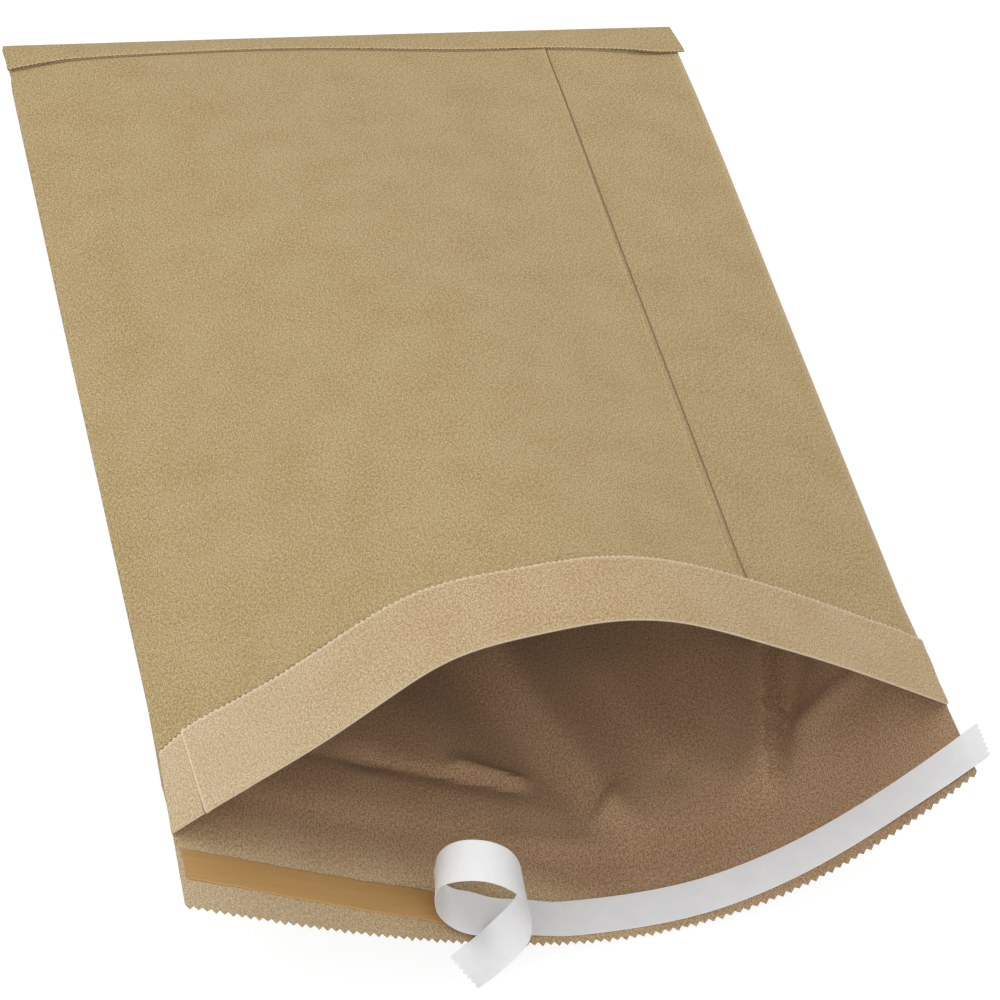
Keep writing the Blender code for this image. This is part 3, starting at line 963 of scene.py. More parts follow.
@dataclass(frozen=True)
class ShreddedPaper:
    """Macerated newsprint and kraft, loose laid: a grey-brown felt of torn fibre."""

    name: str = "macerated_paper_fibre"
    dark: str = "#6F6659"
    light: str = "#A79B88"
    clump_mm: float = 3.0
    clump_depth_mm: float = 0.6

    def material(self) -> bpy.types.Material:
        """Build the material: clumps and fibres of noise in colour and height."""
        made, tree, shader = new_material(self.name)
        place = add_node(tree, "ShaderNodeTexCoord").outputs["Object"]
        clump = noise(tree, place, self.clump_mm, 4.0, 0.7, "3D")
        fill_inputs(tree, shader, {
            "Base Color": colour_ramp(tree, clump, ((0.3, self.dark), (0.7, self.light))),
            "Roughness": 0.95, "Normal": bump(tree, clump, 0.8, self.clump_depth_mm)})
        return made


@dataclass(frozen=True)
class HotMelt:
    """Pressure-sensitive hot-melt rubber adhesive: an amber film, tacky and half glossy.

    It is slot coated, so it carries faint streaks along the strip.
    """

    name: str = "hot_melt_adhesive"
    dark: str = "#BB925B"
    light: str = "#C59C64"
    streak_mm: float = 1.1
    streak_depth_mm: float = 0.05
    length_mm: float = 30.0
    fine_mm: float = 0.7
    fine_share: float = 0.35

    def material(self) -> bpy.types.Material:
        """Build the material: streaks along the strip in colour, gloss and height."""
        made, tree, shader = new_material(self.name)
        flat = flat_place(tree)
        stretched = add_node(tree, "ShaderNodeMapping", {
            "Scale": (1 / (self.length_mm * MM), 1 / (self.streak_mm * MM), 1.0)},
            {"Vector": flat}).outputs[0]
        streak = noise(tree, stretched, 1 / MM, 3.0, 0.6)
        fine = noise(tree, flat, self.fine_mm, 2.0)
        both = add_node(tree, "ShaderNodeMix", {"data_type": "FLOAT", 0: self.fine_share},
                        {2: streak, 3: fine}).outputs[0]
        fill_inputs(tree, shader, {
            "Base Color": colour_ramp(tree, both, ((0.3, self.dark), (0.7, self.light))),
            "Roughness": spread(tree, streak, 0.35, 0.55),
            "Normal": bump(tree, both, 0.4, self.streak_depth_mm), "IOR": 1.48})
        return made


@dataclass(frozen=True)
class CoatedGlassine:
    """White release paper with a silicone face: smooth, even and faintly glossy."""

    name: str = "silicone_release_paper"
    dark: str = "#F1F2F4"
    light: str = "#F6F7F9"
    cloud_mm: float = 9.0
    cloud_depth_mm: float = 0.05
    scatter_mm: float = 0.4

    def material(self) -> bpy.types.Material:
        """Build the material: faint pulp clouds and a soft gloss."""
        made, tree, shader = new_material(self.name)
        cloud = noise(tree, flat_place(tree), self.cloud_mm, 4.0, 0.6)
        fill_inputs(tree, shader, {
            "Base Color": colour_ramp(tree, cloud, ((0.3, self.dark), (0.7, self.light))),
            "Roughness": spread(tree, cloud, 0.42, 0.56),
            "Normal": bump(tree, cloud, 0.06, self.cloud_depth_mm),
            "IOR": 1.45, "Specular IOR Level": 0.4, "Subsurface Weight": 0.75,
            "Subsurface Radius": (1.0, 1.0, 1.0), "Subsurface Scale": self.scatter_mm * MM})
        return made


@dataclass(frozen=True)
class Crease:
    """A soft ridge or hollow pressed into the inner sheet, between two places on it."""

    start: tuple[float, float]
    end: tuple[float, float]
    height: float
    width: float
    steep: float = 1.0
    end_share: float = 1.0
    fades_over: float = 0.25

    def rise(self, x: Array, t: Array) -> Array:
        """Height that the crease gives at each place.

        Across the crease it falls off as a bell as wide as the crease, and the width on
        its left side, looking from its start to its end, is divided by the steepness.
        Width and height go from full at the start to the end's share at the end, and
        the height fades over a share of the length beyond each end.

        Args:
            x: millimetres from the left side fold.
            t: millimetres past the cuff's fold, negative inside the pocket.

        Returns:
            Millimetres towards the inside of the pocket.
        """
        start, end = np.array(self.start), np.array(self.end)
        length = float(np.linalg.norm(end - start))
        way = (end - start) / length
        dx, dt = x - start[0], t - start[1]
        along = (dx * way[0] + dt * way[1]) / length
        beside = dt * way[0] - dx * way[1]
        share = 1 + (self.end_share - 1) * np.clip(along, 0, 1)
        width = np.where(beside > 0, self.width / self.steep, self.width) * share
        over = self.fades_over
        fade = smooth_step((along + over) / over) * smooth_step((1 + over - along) / over)
        return self.height * share * bell(beside, width) * fade


@dataclass
class KraftSheet:
    """One kraft sheet lapped into a tube, with its hem, cuff and flap."""

    form: TubeForm
    name: str
    slot: str
    finish: KraftPaper
    level: float
    outside: bool
    across_panel: int = 112
    round_side: int = 7
    creases: tuple[Crease, ...] = ()
    fine_tooth: float = 2.2
    hem_tooth: float = 2.0
    coarse_tooth: float = 3.3
    fine_depth: float = 0.9
    coarse_depth: float = 1.8
    cut_wear: float = 1.0
    hem_short: float = 4.0
    hem_shows: bool = False
    # Painted light: the cuff's and flap's left ends are paled as if lit from the left.
    left_painted_light: float = 0.24
    left_painted_light_share: float = 0.28
    left_painted_light_on_flap: tuple[float, float] = (2.0, 8.0)
    # Rubbing and a painted highlight along the far and mouth folds.
    rubbing_and_painted_light: float = 0.9
    edge_wear: float = 1.2
    edge_wear_mm: float = 0.9
    side_wear: float = 0.4
    side_wear_mm: float = 1.5
    cut_wear_mm: float = 0.4
    # Painted shadow lines beside the cuff's, hem's and lap's edges: darkness, place and reach.
    cuff_painted_shadow: tuple[float, float, float] = (0.7, 0.4, 0.4)
    hem_painted_shadow: tuple[float, float, float] = (1.2, 0.1, 0.25)
    lap_painted_shadow: tuple[float, float, float] = (1.0, 0.32, 0.34)
    slack: float = 4.0
    slack_bend: float = 3.0
    slack_ends: tuple[float, ...] = (5.0, 30.0, 300.0, 80.0, 20.0)
    shade_at: tuple[float, ...] = (0.1, 0.45, 0.6, 0.8)
    shade_past_mouth: tuple[float, ...] = (6.0, 12.0, 36.0, 41.0)
    shade_fade: float = 15.0
    front_shade_short: float = 2.0
    uneven_depth: float = 0.14
    uneven_pace: tuple[float, float] = (2.4, 0.7)
    turn_steps: int = 8
    hem_edge_rows: tuple[float, ...] = (0.0, 0.6, 1.4)
    hem_steps: tuple[float, int] = (2.5, 11)
    under_hem_steps: tuple[float, int] = (2.0, 12)
    rows_beside_hem: tuple[float, ...] = (-1.0, -0.3, 0.1, 0.4, 0.7, 1.1, 1.6)
    body_steps: tuple[float, int] = (3.0, 103)
    rows_beside_cuff: tuple[float, ...] = (2.0, 1.4, 1.0, 0.7, 0.4, 0.1, -0.3, -1.0)
    under_cuff_steps: int = 15
    cuff_steps: tuple[float, int] = (0.9, 13)
    cuff_edge_rows: tuple[float, ...] = (0.93, 0.95)
    flap_steps: int = 14
    valley_mm: float = 0.05
    valley_share: float = 0.001

    def columns(self) -> Columns:
        """Lines along this sheet, from one lapped edge round to the other."""
        raise NotImplementedError

    def back_run(self) -> list[Columns]:
        """Right side fold, back panel and left side fold."""
        return round_the_back(self.form.sizes, self.across_panel, self.round_side)

    def relief(self, columns: Columns, t: Array) -> Array:
        """Creases of the sheet on the back panel, in millimetres outwards.

        The creases' heights are added to the sheet's own slack and held above nought by
        a soft bend. The slack is taken up at the mouth, deep in the pocket and beside
        the side folds.

        Args:
            columns: lines along the tube.
            t: millimetres from the far fold.

        Returns:
            The height of each point, negative towards the inside of the pocket.
        """
        z = self.form.sizes
        x = np.broadcast_to(columns.s * z.width, t.shape)
        past = t - z.length
        risen = sum((crease.rise(x, past) for crease in self.creases),
                    np.full(t.shape, self.slack))
        risen = np.logaddexp(0.0, self.slack_bend * risen) / self.slack_bend
        mouth, mouth_fade, deep, deep_fade, side_fade = self.slack_ends
        held = smooth_step((mouth - past) / mouth_fade) * smooth_step((past + deep) / deep_fade)
        beside = smooth_step(np.minimum(x, z.width - x) / side_fade)
        return np.where(columns.face == Face.BACK, -risen * held * beside, 0.0)

    def patch(self, shell: PaperShell, columns: Columns, zone: Zone, values: Array) -> Array:
        """Points of one zone of the sheet.

        Args:
            shell: the sheet being built.
            columns: lines along the tube.
            zone: stretch of the sheet.
            values: the zone's measures, one a row.

        Returns:
            The points' numbers, rows by columns.
        """
        z = self.form.sizes
        values = np.atleast_1d(np.asarray(values, float))
        v = values[:, None]
        fold, cuff_back = self.form.from_far_fold(columns, zone, v)
        round_fold = z.fold_radius * np.clip(v, 0, np.pi)
        if zone is Zone.HEM:
            fold = -fold - z.fold_radius * np.pi
        elif zone is Zone.FAR_FOLD:
            fold = -round_fold + 0 * fold
        elif zone is Zone.MOUTH_FOLD:
            fold = z.length + round_fold + 0 * fold
        elif zone is Zone.CUFF:
            fold = z.length + z.fold_radius * np.pi + cuff_back
        level = self.level + columns.lift
        if zone in (Zone.TUBE, Zone.FLAP) and self.creases:
            level = level + self.relief(columns, fold)
        faces = [self.form.layer(columns, zone, values, level + side * z.ply / 2, self.outside)
                 for side in (1, -1)]
        flat = np.stack(np.broadcast_arrays(columns.girth, fold), axis=-1)
        # Painted shade inside the pocket and over the flap's right part, taken up by the inner
        # sheet's tint.
        shaded = z.length + np.interp(columns.s, self.shade_at, self.shade_past_mouth)
        mouth = np.where(columns.face == Face.BACK, shaded, z.length - self.front_shade_short)
        tone = 0 * fold
        if zone in (Zone.TUBE, Zone.FLAP):
            tone = smooth_step((mouth - fold) / self.shade_fade)
        return shell.points(faces[0], faces[1], flat, self.wear_with_painted_light(columns, zone, v, fold), tone)

    def wear_with_painted_light(self, columns: Columns, zone: Zone, v: Array, fold: Array) -> Array:
        """Pale rubbing on the folds and cut edges, with painted fold highlights, painted light on
        the left ends, and painted shadow lines beside the edges.

        Args:
            columns: lines along the tube.
            zone: stretch of the sheet.
            v: the zone's measures as one column of rows.
            fold: millimetres along the unfolded sheet.

        Returns:
            1 where the paper is palest from rubbing, painted highlight and painted light, down to
            -1 on a painted shadow line.
        """
        z = self.form.sizes
        worn_and_painted_light = 0 * fold
        # Rubbing and a painted highlight on the folds.
        if zone in (Zone.FAR_FOLD, Zone.MOUTH_FOLD):
            worn_and_painted_light = worn_and_painted_light + self.rubbing_and_painted_light * np.sin(v) ** 4
        if zone in (Zone.CUFF, Zone.HEM):
            to_edge = (1 - v) * z.cuff if zone is Zone.CUFF else z.hem - v
            worn_and_painted_light = worn_and_painted_light + self.edge_wear * bell(to_edge, self.edge_wear_mm)
        # Painted light on the left ends of the cuff and the flap.
        if zone in (Zone.CUFF, Zone.FLAP):
            start, run = self.left_painted_light_on_flap
            out = 1.0 if zone is Zone.CUFF else smooth_step((fold - z.length - start) / run)
            worn_and_painted_light = worn_and_painted_light + self.left_painted_light * out * bell(columns.s, self.left_painted_light_share)
        if zone is Zone.TUBE:
            beside = np.minimum(np.abs(columns.girth - z.width),
                                np.abs(columns.girth - 2 * z.width))
            worn_and_painted_light = worn_and_painted_light + self.side_wear * bell(beside, self.side_wear_mm)
            # Painted shadow lines on the front along the cuff's edge and the hem's edge.
            past_cuff = z.length - self.form.cuff_width(np.clip(columns.s, 0, 1)) - fold
            dark, at, reach = self.cuff_painted_shadow
            line = dark * bell(past_cuff - at, reach)
            dark, at, reach = self.hem_painted_shadow
            line = line + dark * bell(v - z.hem - at, reach)
            worn_and_painted_light = worn_and_painted_light - np.where(columns.face == Face.FRONT, line, 0.0)
        worn_and_painted_light = worn_and_painted_light + self.cut_wear * bell(self.from_cut_edge(columns), self.cut_wear_mm)
        # Painted shadow line on the lower sheet beside the lap's edge.
        dark, at, reach = self.lap_painted_shadow
        worn_and_painted_light = worn_and_painted_light - dark * bell(self.under_edge(columns) - at, reach)
        return np.clip(worn_and_painted_light, -1, 1)

    def under_edge(self, columns: Columns) -> Array:
        """Millimetres by which a point lies clear of the lap's edge, on the lower sheet."""
        return np.full(len(columns.s), FAR_OFF_MM)

    def from_cut_edge(self, columns: Columns) -> Array:
        """Millimetres from the lap's upper cut edge, which shows paler fibre."""
        return columns.girth[-1] - columns.girth

    def tooth_row(self, shell: PaperShell, run: Columns, zone: Zone, near: float, edge: float,
                  pitch: float, last: Array, downwards: bool) -> None:
        """A toothed cut edge beyond a sheet's last row.

        Args:
            shell: the sheet being built.
            run: columns of the run that carries the edge.
            zone: stretch of the sheet.
            near: the zone's measure at the valleys.
            edge: the zone's measure at the tips.
            pitch: millimetres from tooth to tooth.
            last: numbers of the sheet's last row over the run.
            downwards: True where the edge lies towards the mouth along the rows.
        """
        count = max(1, round(float(run.girth[-1] - run.girth[0]) / pitch))
        valleys = run.finer(count + 1)
        tips = run.finer(2 * count + 1).part(slice(1, None, 2))
        base = self.patch(shell, valleys, zone, [near])[0]
        number, (pace, slow) = np.arange(count), self.uneven_pace
        wander = np.sin(number * pace + np.sin(number * slow))
        uneven = 1 - self.uneven_depth + self.uneven_depth * wander
        far_points = self.patch(shell, tips, zone, [edge])[0]
        for block in (shell.outer, shell.inner):
            valley = block[-2]
            middle = (valley[:-1] + valley[1:]) / 2
            block[-1] = middle + (block[-1] - middle) * uneven[:, None]
        if downwards:
            shell.zip_rows(last, base, run.girth, valleys.girth)
        else:
            shell.zip_rows(base, last, valleys.girth, run.girth)
        shell.teeth(base, far_points, downwards)

    def runs(self, columns: Columns, face: Face) -> list[slice]:
        """Unbroken runs of columns on one face."""
        on = np.concatenate([[0], (columns.face == face).astype(int), [0]])
        change = np.flatnonzero(np.diff(on))
        return [slice(int(a), int(b)) for a, b in zip(change[::2], change[1::2])]

    def build(self) -> bpy.types.Object:
        """Build the whole sheet and dress it.

        The tube, the hem and the two folds are grids of rows by columns; the cuff goes
        on from the front's columns and the flap from the back's.

        Returns:
            The finished piece.
        """
        z = self.form.sizes
        shell = PaperShell()
        columns = self.columns()
        hem = z.hem - self.hem_short
        turns = np.pi * np.arange(1, self.turn_steps) / self.turn_steps
        at_cuff = z.length - z.cuff
        (first, hem_count), (short, under_count) = self.hem_steps, self.under_hem_steps
        clear, body_count = self.body_steps
        hem_rows = hem - np.concatenate([self.hem_edge_rows, np.linspace(first, hem, hem_count)])
        tube = np.concatenate([np.linspace(0, z.hem - short, under_count),
                               z.hem + np.array(self.rows_beside_hem),
                               np.linspace(z.hem + clear, at_cuff - clear, body_count),
                               at_cuff - np.array(self.rows_beside_cuff),
                               np.linspace(at_cuff + clear, z.length, self.under_cuff_steps)])
        rows = np.vstack([self.patch(shell, columns, Zone.HEM, hem_rows),
                          self.patch(shell, columns, Zone.FAR_FOLD, turns[::-1]),
                          self.patch(shell, columns, Zone.TUBE, tube)])
        shell.grid(rows)
        for run in self.runs(columns, Face.BACK) if self.hem_shows else []:
            self.tooth_row(shell, columns.part(run), Zone.HEM, hem + self.valley_mm,
                           z.hem, self.hem_tooth, rows[0, run], False)
        last_share = 1 - self.fine_depth / z.cuff
        shares = np.concatenate([np.linspace(0, *self.cuff_steps), self.cuff_edge_rows,
                                 [last_share]])
        for run in self.runs(columns, Face.FRONT):
            part = columns.part(run)
            cuff = np.vstack([rows[-1:, run], self.patch(shell, part, Zone.MOUTH_FOLD, turns),
                              self.patch(shell, part, Zone.CUFF, shares)])
            shell.grid(cuff)
            self.tooth_row(shell, part, Zone.CUFF, last_share + self.valley_share, 1.0,
                           self.fine_tooth, cuff[-1], True)
        for run in self.runs(columns, Face.BACK):
            part = columns.part(run)
            edge = z.reach + z.flap_more
            down = np.linspace(z.length, edge - self.coarse_depth, self.flap_steps)[1:]
            flap = np.vstack([rows[-1:, run], self.patch(shell, part, Zone.FLAP, down)])
            shell.grid(flap)
            self.tooth_row(shell, part, Zone.FLAP, edge - self.coarse_depth + self.valley_mm,
                           edge, self.coarse_tooth, flap[-1], True)
        piece = shell.build("kraft_" + self.name)
        piece.data.materials.append(self.finish.material())
        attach(piece, BODY)
        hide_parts(self.name)
        LOG.info("%s: %d triangles", piece.name, len(piece.data.polygons))
        return piece


@dataclass
class OuterSheet(KraftSheet):
    """Outer sheet: the front's left part laps over its right part on a slanting seam."""

    edge_curl: float = 0.45
    cut_wear: float = 0.25
    hem_short: float = 0.9
    hem_shows: bool = True

    def under_edge(self, columns: Columns) -> Array:
        """Millimetres by which a point lies clear of the lap's edge, on the lower sheet."""
        under = columns.girth - self.form.sizes.outer_seam_far
        return np.where(columns.girth < self.form.sizes.width, under, FAR_OFF_MM)

    def columns(self) -> Columns:
        """Right part of the front, right fold, back, left fold, left part of the front."""
        z = self.form.sizes
        width = z.width
        drift = (z.outer_seam_mouth - z.outer_seam_far) / width / z.length
        edge = z.outer_seam_far / width
        under = edge - z.lap / width
        count = round(self.across_panel * (1 - under))
        beside = z.lap / (width * (1 - under)) + np.array([-1, 0, 0.3, 0.6, 0.9, 1.4]) / 80
        f = np.union1d(np.linspace(0, 1, count + 1), beside)
        right = face_run(Face.FRONT, under + f * (1 - under), (under + f * (1 - under)) * width,
                         drift=(1 - f) * drift)
        from_edge = np.concatenate([np.linspace(edge * width, z.lap + z.lap_ramp, 84),
                                    np.linspace(z.lap + z.lap_ramp, z.lap, LAP_STEPS)[1:],
                                    TO_CUT_EDGE_MM[::-1]])
        f = 1 - from_edge / (edge * width)
        lift = z.lap_step * smooth_step((z.lap + z.lap_ramp - from_edge) / z.lap_ramp)
        lift = lift + self.edge_curl * np.clip(1 - from_edge / CURL_MM, 0, 1) ** 2
        left = face_run(Face.FRONT, f * edge, 2 * width + 2 * z.side_arc + f * edge * width,
                        lift=lift, drift=f * drift)
        return Columns.joined([right, *self.back_run(), left])


@dataclass
class InnerSheet(KraftSheet):
    """Inner sheet: the front's right part laps over its left part, inside the tube."""

    edge_curl: float = 0.25

    def under_edge(self, columns: Columns) -> Array:
        """Millimetres by which a point lies clear of the lap's edge, on the lower sheet."""
        z = self.form.sizes
        clear = z.inner_seam - columns.s * z.width
        return np.where(columns.girth > 2 * z.width, clear, FAR_OFF_MM)

    def from_cut_edge(self, columns: Columns) -> Array:
        """Millimetres from the lap's upper cut edge, which is the right part's."""
        return columns.girth - self.form.sizes.inner_seam

    def columns(self) -> Columns:
        """Right part of the front, right fold, back, left fold, left part of the front."""
        z = self.form.sizes
        width = z.width
        drift = z.inner_seam_drift / width / z.cuff
        edge = z.inner_seam / width
        under = (z.inner_seam + z.lap) / width
        from_edge = np.concatenate([TO_CUT_EDGE_MM,
                                    np.linspace(z.lap, z.lap + z.lap_ramp, LAP_STEPS),
                                    np.linspace(z.lap + z.lap_ramp, width * (1 - edge), 100)[1:]])
        f = from_edge / (width * (1 - edge))
        lift = -z.lap_step * smooth_step((z.lap + z.lap_ramp - from_edge) / z.lap_ramp)
        lift = lift - self.edge_curl * np.clip(1 - from_edge / CURL_MM, 0, 1) ** 2
        right = face_run(Face.FRONT, edge + f * (1 - edge), edge * width + from_edge,
                         lift=lift, cuff_drift=(1 - f) * drift)
        beside = (z.inner_seam - np.array([*BESIDE_LAP_MM, 2.4])) / (under * width)
        f = np.union1d(np.linspace(0, 1, 9), beside)
        left = face_run(Face.FRONT, f * under, 2 * width + 2 * z.side_arc + f * under * width,
                        cuff_drift=f * drift)
        return Columns.joined([right, *self.back_run(), left])


@dataclass
class FibrePadding:
    """Layer of shredded paper all round the tube, between the two sheets."""

    form: TubeForm
    finish: ShreddedPaper = field(default_factory=ShreddedPaper)
    across_panel: int = 72
    round_side: int = 5

    def build(self) -> bpy.types.Object:
        """Build the padding as a closed ring of rows by columns and dress it.

        Returns:
            The finished piece.
        """
        z = self.form.sizes
        s = np.linspace(0, 1, self.across_panel + 1)
        columns = Columns.joined([face_run(Face.FRONT, s, s * z.width),
                                  *round_the_back(z, self.across_panel, self.round_side)])
        t = np.concatenate([np.linspace(z.padding_start, z.hem, 10),
                            np.linspace(z.hem, z.length - z.cuff, 70)[1:],
                            np.linspace(z.length - z.cuff, z.length - z.padding_stop, 8)[1:]])
        low = z.clear + z.ply + z.gap
        outer = self.form.layer(columns, Zone.TUBE, t, low - z.gap, True)
        inner = self.form.layer(columns, Zone.TUBE, t, low)
        flat = np.stack(np.broadcast_arrays(columns.girth, t[:, None]), axis=-1)
        shell = PaperShell()
        numbers = shell.points(outer, inner, flat)
        shell.grid(np.concatenate([numbers, numbers[:, :1]], axis=1))
        piece = shell.build("shredded_paper_padding")
        piece.data.materials.append(self.finish.material())
        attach(piece, BODY)
        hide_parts("fibre_padding")
        LOG.info("%s: %d triangles", piece.name, len(piece.data.polygons))
        return piece


def flap_surface(form: TubeForm, s: Array, t: Array, height: Any) -> Array:
    """Points over the flap's inner face, and past its ends along the end's tangent.

    Args:
        form: the envelope's tube.
        s: share across the flap, which may run past 0 or 1.
        t: millimetres from the far fold.
        height: millimetres from the bare tube, negative towards the pocket.

    Returns:
        Points in millimetres.
    """
    inside = np.clip(s, 0.0, 1.0)
    point, across, _, normal = form.frame(False, inside, t)
    beyond = (np.asarray(s) - inside) * form.sizes.width
    beyond, height = np.broadcast_arrays(beyond, height)
    return point + across * beyond[..., None] + normal * height[..., None]


@dataclass
class GlueStrip:
    """Hot-melt adhesive across the flap's inner face."""

    form: TubeForm
    finish: HotMelt = field(default_factory=HotMelt)
    width: float = 12.5
    thickness: float = 0.3
    inset: float = 4.0
    left_inset: float = 2.1
    leans_by: float = 0.3
    wavers: tuple[tuple[float, float, float], ...] = ((0.12, 61.0, 0.0), (0.1, 143.0, 1.0))

    def build(self) -> bpy.types.Object:
        """Build the strip as a thin pad and dress it.

        The pad's top sinks to its foot over the last half millimetre on each side.

        Returns:
            The finished piece.
        """
        z = self.form.sizes
        s = np.linspace(self.left_inset / z.width, 1 - self.inset / z.width, 240)[:, None]
        at = np.array([0.0, 0.25, 0.6, 0.5 * self.width, self.width - 0.6, self.width - 0.25,
                       self.width])
        waver = sum(by * np.sin(s * pace + start) for by, pace, start in self.wavers)
        t = z.length + self.form.strip_run(s) + self.leans_by + at[None, :] + waver
        foot = z.clear - z.gap
        swell = self.thickness * np.array([0.35, 0.85, 1, 1, 1, 0.85, 0.35])[None, :]
        low = flap_surface(self.form, s + 0 * t, t, foot + 0 * t)
        high = flap_surface(self.form, s + 0 * t, t, foot - swell + 0 * t)
        flat = np.stack(np.broadcast_arrays(s * z.width, t), axis=-1)
        shell = PaperShell()
        shell.grid(shell.points(low, high, flat))
        piece = shell.build("glue_strip")
        piece.data.materials.append(self.finish.material())
        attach(piece, BODY)
        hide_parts("adhesive_strip")
        LOG.info("%s: %d triangles", piece.name, len(piece.data.polygons))
        return piece


@dataclass
class PeeledLiner:
    """Release liner: stuck down on the right, curled back and hanging on the left.

    The curl is a strip carried along a path: each station gives the place of its two
    edges, 8 mm after the last, in the envelope's own millimetres.
    """

    form: TubeForm
    finish: CoatedGlassine = field(default_factory=CoatedGlassine)
    thickness: float = 0.2
    width: float = 13.9
    overhang: float = 7.0
    tooth: float = 1.9
    tooth_depth: float = 1.0
    lanes: int = 12
    far_edge: tuple[tuple[float, float, float], ...] = (
        (-1.8, -14.3, -54.1), (-9.7, -15.6, -50.9), (-17.0, -17.0, -46.5), (-24.0, -17.9, -41.6),
        (-30.4, -18.3, -37.9), (-35.1, -15.0, -35.0), (-36.4, -17.0, -27.3), (-36.6, -19.1, -19.5),
        (-34.8, -21.3, -11.6), (-29.6, -23.9, -5.6), (-22.0, -26.0, -4.4), (-14.8, -26.9, -8.2),
        (-10.2, -26.8, -15.2), (-8.0, -26.2, -23.0), (-7.6, -25.7, -31.0), (-9.1, -25.6, -38.8),
        (-13.5, -27.0, -44.2), (-19.8, -30.4, -47.6), (-26.9, -36.5, -46.5), (-33.0, -39.7, -48.4))
    near_edge: tuple[tuple[float, float, float], ...] = (
        (-1.2, -28.9, -56.0), (-8.9, -30.2, -53.3), (-17.6, -32.0, -49.9), (-24.6, -33.1, -46.6),
        (-31.4, -32.3, -42.9), (-36.1, -30.5, -38.2), (-38.4, -31.1, -30.7), (-39.4, -32.7, -22.9),
        (-38.0, -34.8, -15.5), (-32.5, -37.4, -10.5), (-25.1, -39.5, -9.0), (-17.9, -40.6, -11.7),
        (-12.1, -40.8, -17.2), (-8.3, -40.5, -24.1), (-6.5, -40.0, -31.8), (-5.3, -39.4, -39.7),
        (-6.3, -39.2, -47.6), (-11.3, -41.0, -53.5), (-17.9, -44.8, -55.8), (-24.2, -49.6, -54.9))
    joins_at: float = 0.462
    flare_at: tuple[float, float] = (0.9, 1.022)
    flare_by: tuple[float, float] = (0.0, 1.6)
    stations: int = 380

    def stuck(self) -> tuple[Array, Array]:
        """Stations of both edges on the flap, from the cut end to where the curl joins."""
        z = self.form.sizes
        s = np.linspace(1 + self.overhang / z.width, self.joins_at, 16)
        inside = np.clip(s, 0, 1)
        flare = np.interp(s, self.flare_at, self.flare_by)
        first = z.length + self.form.strip_run(inside)
        height = z.clear - 2 * z.gap - GlueStrip.thickness - self.thickness / 2
        far = flap_surface(self.form, s, first, height)
        near = flap_surface(self.form, s, first + self.width + flare, height)
        return far, near

    def edges(self) -> tuple[Array, Array]:
        """Both edges of the whole liner, smooth through the stuck and curled stations."""
        ends = []
        for stuck, curl in zip(self.stuck(), (self.far_edge, self.near_edge)):
            ends.append(np.concatenate([stuck, np.array(curl, float)]))
        middle = (ends[0] + ends[1]) / 2
        gone = np.concatenate([[0], np.cumsum(np.linalg.norm(np.diff(middle, axis=0), axis=1))])
        fine = np.linspace(0, gone[-1], self.stations)
        return SmoothCurve(gone, ends[0])(fine), SmoothCurve(gone, ends[1])(fine)

    def build(self) -> bpy.types.Object:
        """Build the liner with its toothed ends and dress it.

        Returns:
            The finished piece.
        """
        far, near = self.edges()
        share = np.linspace(0, 1, self.lanes + 1)[None, :, None]
        middle = far[:, None] * (1 - share) + near[:, None] * share
        along = unit(np.gradient(middle, axis=0))
        across = unit(near - far)[:, None] + 0 * middle
        normal = unit(np.cross(along, across))
        gone = np.concatenate([[0], np.cumsum(np.linalg.norm(np.diff(middle[:, self.lanes // 2],
                                                                     axis=0), axis=1))])
        flat = np.stack(np.broadcast_arrays(gone[:, None], share[..., 0] * self.width), axis=-1)
        half = self.thickness / 2
        shell = PaperShell()
        numbers = shell.points(middle + normal * half, middle - normal * half, flat)
        shell.grid(numbers)
        self.cut_end(shell, numbers[0], 0, 1, False)
        self.cut_end(shell, numbers[-1], -1, -2, True)
        piece = shell.build("liner_strip")
        piece.data.materials.append(self.finish.material())
        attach(piece, BODY)
        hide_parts("release_liner")
        LOG.info("%s: %d triangles", piece.name, len(piece.data.polygons))
        return piece

    def cut_end(self, shell: PaperShell, row: Array, end: int, before: int,
                downwards: bool) -> None:
        """Teeth along one cut end of the strip.

        Args:
            shell: the strip being built; its first block is the grid of points.
            row: numbers of the end row's points.
            end: index of the end row.
            before: index of the row beside it.
            downwards: True at the last row.
        """
        count = round(self.width / self.tooth)
        valleys = np.linspace(0, self.lanes, count + 1)
        tips = (valleys[1:] + valleys[:-1]) / 2
        lanes = np.arange(self.lanes + 1)
        rows = [block[0].reshape(-1, self.lanes + 1, 3) for block in (shell.outer, shell.inner)]
        made = []
        for at, reach in ((valleys, 0.05), (tips, self.tooth_depth)):
            faces = []
            for grid in rows:
                out = unit(grid[end] - grid[before])
                edge = grid[end] + out * reach
                faces.append(np.stack([np.interp(at, lanes, part) for part in edge.T], axis=1))
            flat = np.stack([0 * at, at * self.width / self.lanes], axis=1)
            made.append(shell.points(faces[0], faces[1], flat))
        if downwards:
            shell.zip_rows(row, made[0], lanes, valleys)
        else:
            shell.zip_rows(made[0], row, valleys, lanes)
        shell.teeth(made[0], made[1], downwards)


